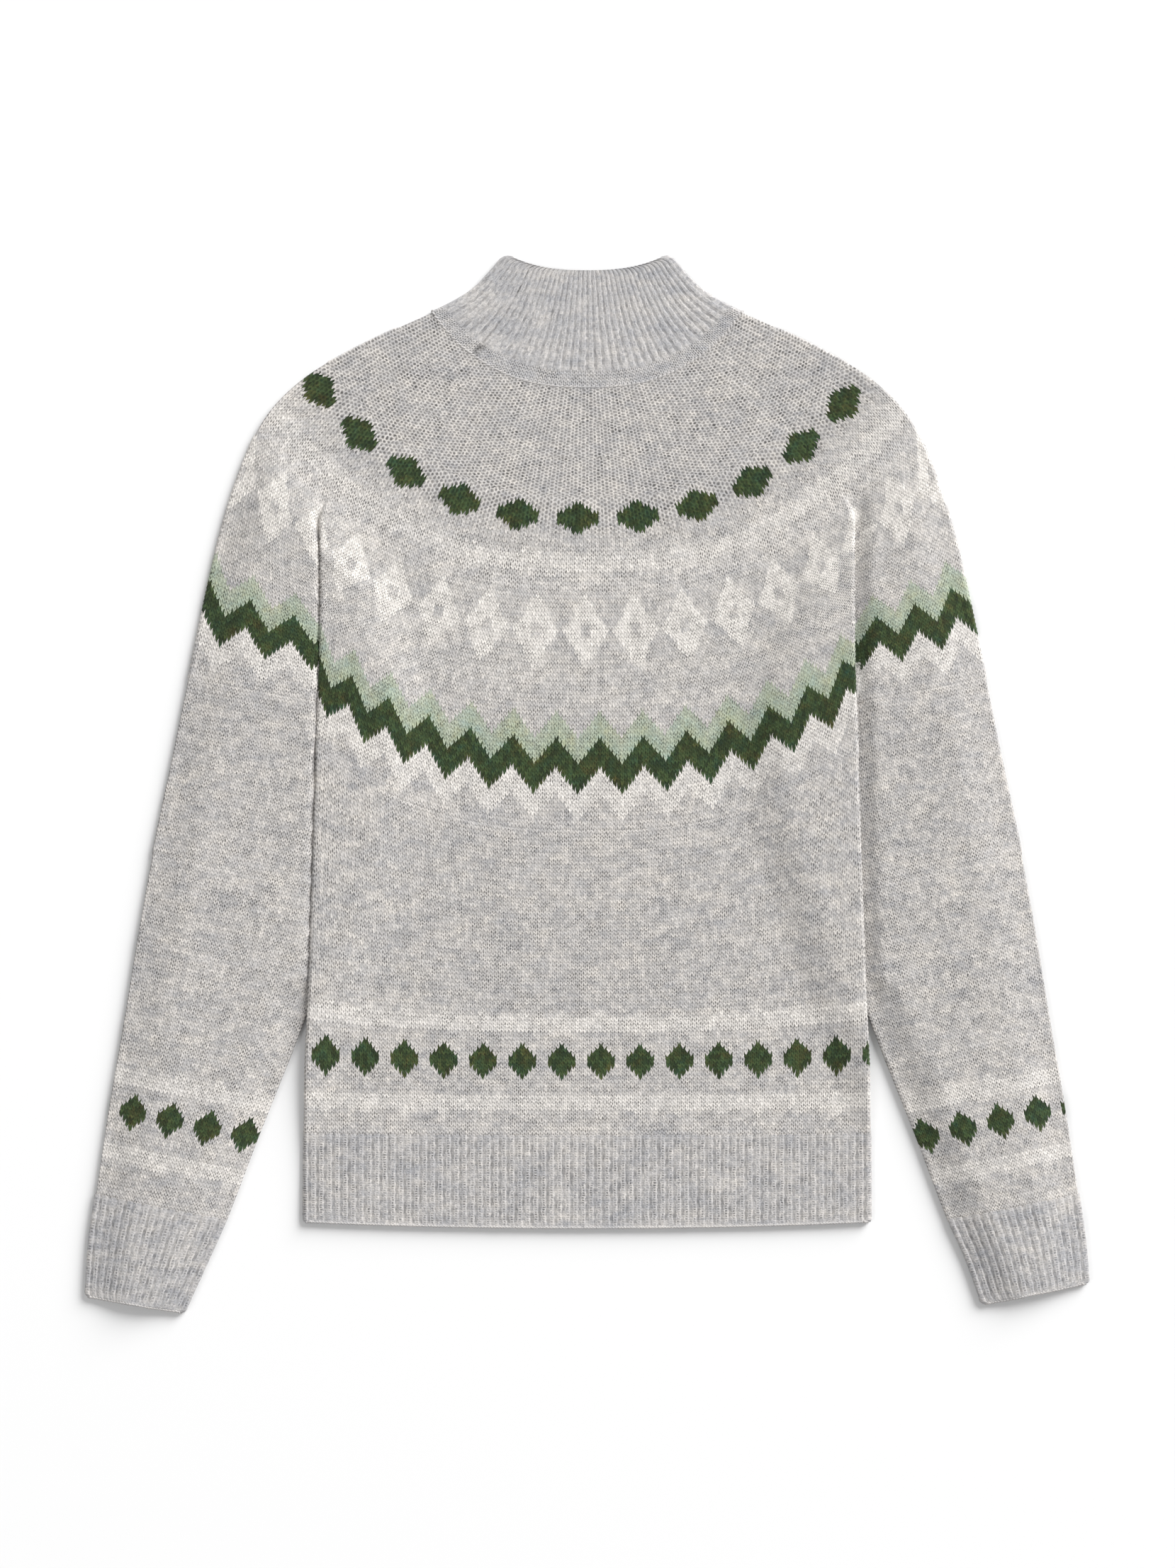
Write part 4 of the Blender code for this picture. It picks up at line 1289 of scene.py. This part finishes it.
def link_tree():
    """Lays links of yarn along a line whose points carry "outward", the way out of the cloth."""
    tree = bpy.data.node_groups.new("yarn_links", "GeometryNodeTree")
    for name, kind, default in LINK_INPUTS:
        socket = tree.interface.new_socket(name=name, in_out="INPUT", socket_type=kind)
        if default is not None:
            socket.default_value = default
    tree.interface.new_socket(name="Links", in_out="OUTPUT", socket_type="NodeSocketGeometry")
    given = add(tree, "NodeGroupInput").outputs
    line = add(tree, "GeometryNodeMeshToCurve", (given["Line"],))
    line = add(tree, "GeometryNodeResampleCurve", {"Curve": line, "Length": given["Spacing"]},
               mode="LENGTH")
    outward = add(tree, "GeometryNodeInputNamedAttribute", {"Name": "outward"},
                  data_type="FLOAT_VECTOR")
    tangent = add(tree, "GeometryNodeInputTangent")
    along = add(tree, "FunctionNodeAlignRotationToVector", {"Vector": tangent}, axis="X")
    facing_out = add(tree, "FunctionNodeAlignRotationToVector",
                     {"Rotation": along, "Vector": outward.outputs["Attribute"]},
                     axis="Z", pivot_axis="X")
    # a leg of yarn: fat in the middle, and its ends drawn into the cloth
    leg = add(tree, "GeometryNodeMeshUVSphere", {"Segments": 6, "Rings": 6, "Radius": 0.5})
    leg = add(tree, "GeometryNodeTransform", {"Geometry": leg, "Rotation": (0.0, math.pi / 2, 0.0)})
    leg = add(tree, "GeometryNodeSetShadeSmooth", {"Geometry": leg.outputs[0]})
    size = add(tree, "ShaderNodeCombineXYZ", (given["Length"], given["Yarn"], given["Yarn"]))
    uneven = add(tree, "FunctionNodeRandomValue", {2: 0.88, 3: 1.12, "Seed": 7})
    size = add(tree, "ShaderNodeVectorMath", {0: size, "Scale": uneven.outputs[1]},
               operation="SCALE")
    jitter = add(tree, "FunctionNodeRandomValue", {2: -0.15, 3: 0.15, "Seed": 11})
    together = tree.nodes.new("GeometryNodeJoinGeometry")
    for way in (1, -1):
        shift = add(tree, "ShaderNodeMath", (given["Spacing"], 0.25 * way), operation="MULTIPLY")
        offset = add(tree, "ShaderNodeVectorMath", {0: tangent, "Scale": shift},
                     operation="SCALE")
        moved = add(tree, "GeometryNodeSetPosition", {"Geometry": line, "Offset": offset})
        lean = add(tree, "ShaderNodeMath", (given["Lean"], float(way), jitter.outputs[1]),
                   operation="MULTIPLY_ADD")
        turn = add(tree, "ShaderNodeCombineXYZ", (0.0, 0.0, lean))
        turned = add(tree, "FunctionNodeRotateRotation",
                     {"Rotation": facing_out, "Rotate By": turn}, rotation_space="LOCAL")
        wanted = add(tree, "ShaderNodeMath", (given["Legs"], 1.5 if way < 0 else 0.5),
                     operation="GREATER_THAN")
        legs = add(tree, "GeometryNodeInstanceOnPoints",
                   {"Points": moved, "Selection": wanted, "Instance": leg, "Rotation": turned,
                    "Scale": size})
        tree.links.new(legs.outputs[0], together.inputs[0])
    real = add(tree, "GeometryNodeRealizeInstances", (together,))
    # pressed flat where it lies on the ground
    place = add(tree, "ShaderNodeSeparateXYZ", (add(tree, "GeometryNodeInputPosition"),))
    height = add(tree, "ShaderNodeMath", (place.outputs[2], 0.0), operation="MAXIMUM")
    pressed = add(tree, "ShaderNodeCombineXYZ", (place.outputs[0], place.outputs[1], height))
    real = add(tree, "GeometryNodeSetPosition", {"Geometry": real, "Position": pressed})
    dressed = add(tree, "GeometryNodeSetMaterial",
                  {"Geometry": real, "Material": given["Yarn material"]})
    add(tree, "NodeGroupOutput", (dressed,))
    return tree


def ring_line(section, v, lift, beyond):
    """A line round a tube at course v and its outward directions, lifted out of the cloth."""
    ring, _, normal = facing(section, np.array([v]))
    down = unit(section(np.array([v + 0.2]))[0] - section(np.array([v - 0.2]))[0])
    return (ring + lift * normal + beyond * down)[0, :-1], normal[0, :-1]


def lay_links(name, tree, line, outward, **values):
    """A piece made of links round a closed line. values set the tree's inputs, by name."""
    line[:, 2] = np.maximum(line[:, 2], values["Yarn"] / 2)
    pairs = [(i, (i + 1) % len(line)) for i in range(len(line))]
    mesh = bpy.data.meshes.new(name + "_line")
    mesh.from_pydata(line.tolist(), pairs, [])
    mesh.attributes.new("outward", "FLOAT_VECTOR", "POINT").data.foreach_set(
        "vector", outward.ravel())
    piece = put(name, mesh)
    modifier = piece.modifiers.new("Links", "NODES")
    modifier.node_group = tree
    for item in tree.interface.items_tree:
        key = item.name.replace(" ", "_")
        if item.item_type == "SOCKET" and item.in_out == "INPUT" and key in values:
            modifier[item.identifier] = values[key]
    depsgraph = bpy.context.evaluated_depsgraph_get()
    piece.data = bpy.data.meshes.new_from_object(piece.evaluated_get(depsgraph),
                                                 preserve_all_data_layers=True,
                                                 depsgraph=depsgraph)
    piece.modifiers.clear()
    bpy.data.meshes.remove(mesh)
    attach(piece, "root")
    return piece


# ------------------------------------------------------------------------------------------------
# Settings

def colour_setting(name, description, code):
    return FloatVectorProperty(name=name, description=description, default=linear(code), size=3,
                               min=0.0, max=1.0, subtype="COLOR")


def length_setting(name, description, default, most):
    return FloatProperty(name=name, description=description, default=default, min=0.0, max=most,
                         unit="LENGTH", precision=5)


class SWEATER_PG_yarns(bpy.types.PropertyGroup):
    light_grey: colour_setting("Light grey", "Lighter fibres of the main yarn", "D3CDC6")
    dark_grey: colour_setting("Dark grey", "Darker fibres of the main yarn", "A5A5A8")
    white: colour_setting("White", "Yarn of the pale bands", "E6E1DB")
    sage: colour_setting("Sage", "Yarn of the light green zigzag", "A2AE97")
    straw: colour_setting("Straw", "Yellow-green fibres in the light green yarn", "B0B184")
    mist: colour_setting("Mist", "Bluer fibres in the sage yarn", "97B0A9")
    green: colour_setting("Dark green", "Yarn of the diamonds and the dark zigzag", "354426")
    brown: colour_setting("Brown", "Brown fibres in the dark green yarn", "4F4420")
    teal: colour_setting("Teal", "Blue-green fibres in the dark green yarn", "1F4034")


class SWEATER_PG_cloth(bpy.types.PropertyGroup):
    sleeve_loft: length_setting(
        "Sleeve loft", "How far the cloth of a sleeve stands up in its middle", 4.4 * MM, 20 * MM)
    sleeve_swell: length_setting(
        "Sleeve swell", "Height of the slight waves in the sleeves", 0.3 * MM, 2 * MM)
    body_swell: length_setting(
        "Body swell", "Height of the slight waves in the back", 0.35 * MM, 2 * MM)
    seam_yarn: length_setting(
        "Seam yarn", "Thickness of the yarn that links the collar on", 1.8 * MM, 4 * MM)
    edge_yarn: length_setting(
        "Edge yarn", "Thickness of the yarn of the cast-off edges", 1.7 * MM, 4 * MM)
    relief: FloatProperty(name="Relief", default=1.0, min=0.0, max=1.5, subtype="FACTOR",
                          description="How far stitches and ribs stand out of the cloth")
    # painted shade: how dark the slits between the stitches are painted
    slit_depth: FloatProperty(name="Slit depth", default=0.72, min=0.0, max=1.0, subtype="FACTOR",
                              description="How dark the slits between the stitches are")


class SWEATER_PG_stage(bpy.types.PropertyGroup):
    lens: FloatProperty(name="Lens", description="Focal length on a 36 mm frame", default=0.085,
                        min=0.02, max=0.3, unit="CAMERA")
    view_height: FloatProperty(name="View height", description="Height of the scene in view",
                               default=1.106, min=0.5, max=3.0, unit="LENGTH")
    key_power: FloatProperty(name="Key light", description="Power of the large soft light",
                             default=8500.0, min=0.0, unit="POWER")
    fill_power: FloatProperty(name="Fill light", description="Power of the soft light opposite",
                              default=120.0, min=0.0, unit="POWER")
    sky: FloatProperty(name="Sky", description="Strength of the light from all round",
                       default=0.40, min=0.0)


def yarn_colours(context):
    yarns = context.scene.sweater_yarns
    return {name: (*getattr(yarns, name), 1.0)
            for name in SWEATER_PG_yarns.__annotations__}


def settle(piece, nodes):
    """Tells the frame what a finished piece of cloth is."""
    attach(piece, "root")
    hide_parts(*nodes)


# ------------------------------------------------------------------------------------------------
# Operators

class SWEATER_OT_collar(bpy.types.Operator):
    """Knits the ribbed collar"""
    bl_idname = "sweater.collar"
    bl_label = "Collar"

    def execute(self, context):
        # tone darkens the ribbed wool all over, as painted shade of its deep ribs
        material = wool("ribbed_collar_wool", yarn_colours(context), cloth().slit_depth,
                        COLLAR_FIELD, COLLAR_SEAM_BUMP_AND_SHADE, wander_across=0.35, ladder_depth=0.35,
                        hair_size=(5.0, 0.5, 1.0), tone=-0.25)
        piece = knit_tube("knit_collar", collar_rings, shown(COLLAR_ZONES), material,
                          inner_rows=10, inner_step=3)
        settle(piece, ("collar",))
        return {"FINISHED"}


class SWEATER_OT_yoke(bpy.types.Operator):
    """Knits the round yoke, with the pleats where it is folded in beside the body"""
    bl_idname = "sweater.yoke"
    bl_label = "Yoke"

    def execute(self, context):
        material = wool("patterned_yoke_wool", yarn_colours(context), cloth().slit_depth,
                        OPEN_KNIT + STITCH_FIELD + NET_FIELD, YOKE_PATTERN)
        zones = shown(YOKE_ZONES)
        zones[-1]["hidden"] = hidden_yoke(zones[-1])
        piece = knit_tube("knit_yoke", yoke_rings, zones, material, inner_rows=16, inner_step=5)
        settle(piece, ("yoke",))
        return {"FINISHED"}


class SWEATER_OT_body(bpy.types.Operator):
    """Knits the body, back and front in one tube"""
    bl_idname = "sweater.body"
    bl_label = "Body"

    def execute(self, context):
        material = wool("plain_body_wool", yarn_colours(context), cloth().slit_depth, STITCH_FIELD,
                        band_pattern(first_column=3, diamond_row=59, upper=49, lower=70))
        zone = dict(kind="stitch", first=0, last=BODY_COURSES, count=BODY_WALES,
                    pitch=BODY_PITCH, fine=(-73, 73))
        piece = knit_tube("knit_body", body_rings, [zone], material, inner_rows=12, inner_step=6)
        settle(piece, ("back_panel", "front_panel"))
        return {"FINISHED"}


class SWEATER_OT_hem(bpy.types.Operator):
    """Knits the ribbed hem"""
    bl_idname = "sweater.hem"
    bl_label = "Hem"

    def execute(self, context):
        # tone darkens the ribbed wool all over, as painted shade of its deep ribs
        material = wool("ribbed_hem_wool", yarn_colours(context), cloth().slit_depth, RIB_FIELD,
                        cast_off_end(HEM_COURSES), wander_across=0.35, ladder_depth=0.9,
                        hair_size=(6.0, 0.6, 1.0), tone=-0.2)
        zone = dict(kind="rib", first=0, last=HEM_COURSES, count=HEM_RIBS, pitch=HEM_PITCH,
                    fine=(-37, 37), cast_off=HEM_COURSES)
        piece = knit_tube("knit_hem", hem_rings, [zone], material, inner_rows=5, inner_step=5)
        settle(piece, ("hem_back", "hem_front"))
        return {"FINISHED"}


class SWEATER_OT_sleeves(bpy.types.Operator):
    """Knits both sleeves"""
    bl_idname = "sweater.sleeves"
    bl_label = "Sleeves"

    def execute(self, context):
        material = wool("plain_sleeve_wool", yarn_colours(context), cloth().slit_depth,
                        STITCH_FIELD,
                        band_pattern(first_column=0, diamond_row=110, upper=101, lower=121))
        for side, name in ((-1, "left"), (1, "right")):
            middle = SLEEVE_MIDDLE[side]
            zones = []
            for first, last, count, across in SLEEVE_ZONES:
                start = middle - across / 2
                zones.append(dict(kind="stitch", first=first, last=last, count=count,
                                  across=across, start=start, hidden=hidden_sleeve,
                                  fine=(start - 1, start + across + 1)))
            piece = knit_tube("knit_sleeve_" + name, sleeve_rings(side), zones, material,
                              inner_rows=16, inner_step=5, middle=middle)
            settle(piece, ("sleeve_" + name,))
        return {"FINISHED"}


class SWEATER_OT_cuffs(bpy.types.Operator):
    """Knits both ribbed cuffs"""
    bl_idname = "sweater.cuffs"
    bl_label = "Cuffs"

    def execute(self, context):
        # tone darkens the ribbed wool all over, as painted shade of its deep ribs
        material = wool("ribbed_cuff_wool", yarn_colours(context), cloth().slit_depth, RIB_FIELD,
                        cast_off_end(CUFF_COURSES), wander_across=0.35, ladder_depth=0.7,
                        hair_size=(6.0, 0.6, 1.0), tone=-0.25)
        for side, name in ((-1, "left"), (1, "right")):
            zone = dict(kind="rib", first=0, last=CUFF_COURSES, count=CUFF_RIBS,
                        across=CUFF_ACROSS, start=-CUFF_ACROSS / 2, fine=(-8, 8),
                        cast_off=CUFF_COURSES)
            piece = knit_tube("knit_cuff_" + name, cuff_rings(side), [zone], material,
                              inner_rows=5, inner_step=5)
            settle(piece, ("cuff_" + name,))
        return {"FINISHED"}


class SWEATER_OT_edges(bpy.types.Operator):
    """Links the collar to the yoke and casts off the hem and cuffs"""
    bl_idname = "sweater.edges"
    bl_label = "Seams and edges"

    def execute(self, context):
        tree = link_tree()
        yarn = twisted_yarn(yarn_colours(context))
        seam = dict(Spacing=3.2 * MM, Length=4.0 * MM, Yarn=cloth().seam_yarn, Lean=0.45, Legs=1)
        cast_off = dict(Spacing=2.2 * MM, Length=2.6 * MM, Yarn=cloth().edge_yarn, Lean=0.7,
                        Legs=2)
        hem = dict(kind="rib", count=HEM_RIBS, pitch=HEM_PITCH)
        cuff = dict(kind="rib", count=CUFF_RIBS, across=CUFF_ACROSS, start=-CUFF_ACROSS / 2)
        for name, section, v, lift, beyond, links in (
                ("linking_seam", yoke_rings(YOKE_ZONES[0]), 0, 0.6 * MM, 0.0, seam),
                ("cast_off_hem", hem_rings(hem), HEM_COURSES, 0.5 * MM, -0.5 * MM, cast_off),
                ("cast_off_cuff_left", cuff_rings(-1)(cuff), CUFF_COURSES, 0.5 * MM, -0.5 * MM,
                 cast_off),
                ("cast_off_cuff_right", cuff_rings(1)(cuff), CUFF_COURSES, 0.5 * MM, -0.5 * MM,
                 cast_off)):
            line, outward = ring_line(section, float(v), lift, beyond)
            lay_links(name, tree, line, outward, Yarn_material=yarn, **links)
        return {"FINISHED"}


FLOOR_HALF = 6.0
SENSOR = 36.0 * MM           # height of the camera's sensor
AIM = (0.00025, -0.00025)    # the point of the ground in the middle of the frame
SEEN_Z = 5.0 * MM            # height of the cloth that the view height is measured at


class SWEATER_OT_stage(bpy.types.Operator):
    """Lays a white floor and sets the lights and the camera"""
    bl_idname = "sweater.stage"
    bl_label = "Stage"

    def execute(self, context):
        stage = context.scene.sweater_stage
        mesh = bpy.data.meshes.new("floor")
        corners = ((-1, -1), (1, -1), (1, 1), (-1, 1))
        mesh.from_pydata([(FLOOR_HALF * x, FLOOR_HALF * y, 0) for x, y in corners], [],
                         [(0, 1, 2, 3)])
        # matt white paper sweep: no gloss, so no bright patch under the lights
        paper = bpy.data.materials.new("white_paper")
        paper.use_nodes = True
        surface = paper.node_tree.nodes["Principled BSDF"]
        surface.inputs["Base Color"].default_value = (*linear("EBEBEB"), 1.0)
        surface.inputs["Roughness"].default_value = 1.0
        surface.inputs["Specular IOR Level"].default_value = 0.0
        mesh.materials.append(paper)
        put("floor", mesh)

        world = bpy.data.worlds.new("soft_sky")
        world.use_nodes = True
        background = world.node_tree.nodes["Background"]
        background.inputs["Color"].default_value = (1.0, 1.0, 1.0, 1.0)
        background.inputs["Strength"].default_value = stage.sky
        context.scene.world = world
        for name, place, size, power in (
                ("key_softbox", (13.2, 14.8, 10.0), 16.0, stage.key_power),
                ("fill_softbox", (-5.0, -1.5, 6.5), 4.0, stage.fill_power)):
            light = bpy.data.lights.new(name, "AREA")
            light.shape, light.size, light.energy = "DISK", size, power
            lamp = put(name, light)
            lamp.location = place
            lamp.rotation_euler = (-lamp.location).to_track_quat("-Z", "Y").to_euler()

        camera = bpy.data.cameras.new("camera")
        camera.sensor_fit, camera.sensor_height = "VERTICAL", SENSOR / MM
        camera.lens = stage.lens / MM
        eye = put("camera", camera)
        eye.location = (*AIM, SEEN_Z + stage.lens / SENSOR * stage.view_height)
        context.scene.camera = eye
        context.scene.view_settings.view_transform = "Standard"
        return {"FINISHED"}


OPERATORS = (SWEATER_OT_collar, SWEATER_OT_yoke, SWEATER_OT_body, SWEATER_OT_hem,
             SWEATER_OT_sleeves, SWEATER_OT_cuffs, SWEATER_OT_edges, SWEATER_OT_stage)
SETTINGS = {"sweater_yarns": SWEATER_PG_yarns, "sweater_cloth": SWEATER_PG_cloth,
            "sweater_stage": SWEATER_PG_stage}


class SWEATER_PT_panel(bpy.types.Panel):
    """Sizes, colours and steps of the sweater"""
    bl_idname = "SWEATER_PT_panel"
    bl_label = "Nordic yoke sweater"
    bl_space_type = "VIEW_3D"
    bl_region_type = "UI"
    bl_category = "Sweater"

    def draw(self, context):
        for name, group in SETTINGS.items():
            box = self.layout.box()
            for key in group.__annotations__:
                box.prop(getattr(context.scene, name), key)
        for operator in OPERATORS:
            self.layout.operator(operator.bl_idname)


CLASSES = (*SETTINGS.values(), *OPERATORS, SWEATER_PT_panel)


def register():
    for cls in CLASSES:
        bpy.utils.register_class(cls)
    for name, group in SETTINGS.items():
        setattr(bpy.types.Scene, name, PointerProperty(type=group))


def unregister():
    for name in SETTINGS:
        delattr(bpy.types.Scene, name)
    for cls in reversed(CLASSES):
        bpy.utils.unregister_class(cls)


def main():
    register()
    for operator in OPERATORS:
        group, name = operator.bl_idname.split(".")
        getattr(getattr(bpy.ops, group), name)()


if __name__ == "__main__":
    main()
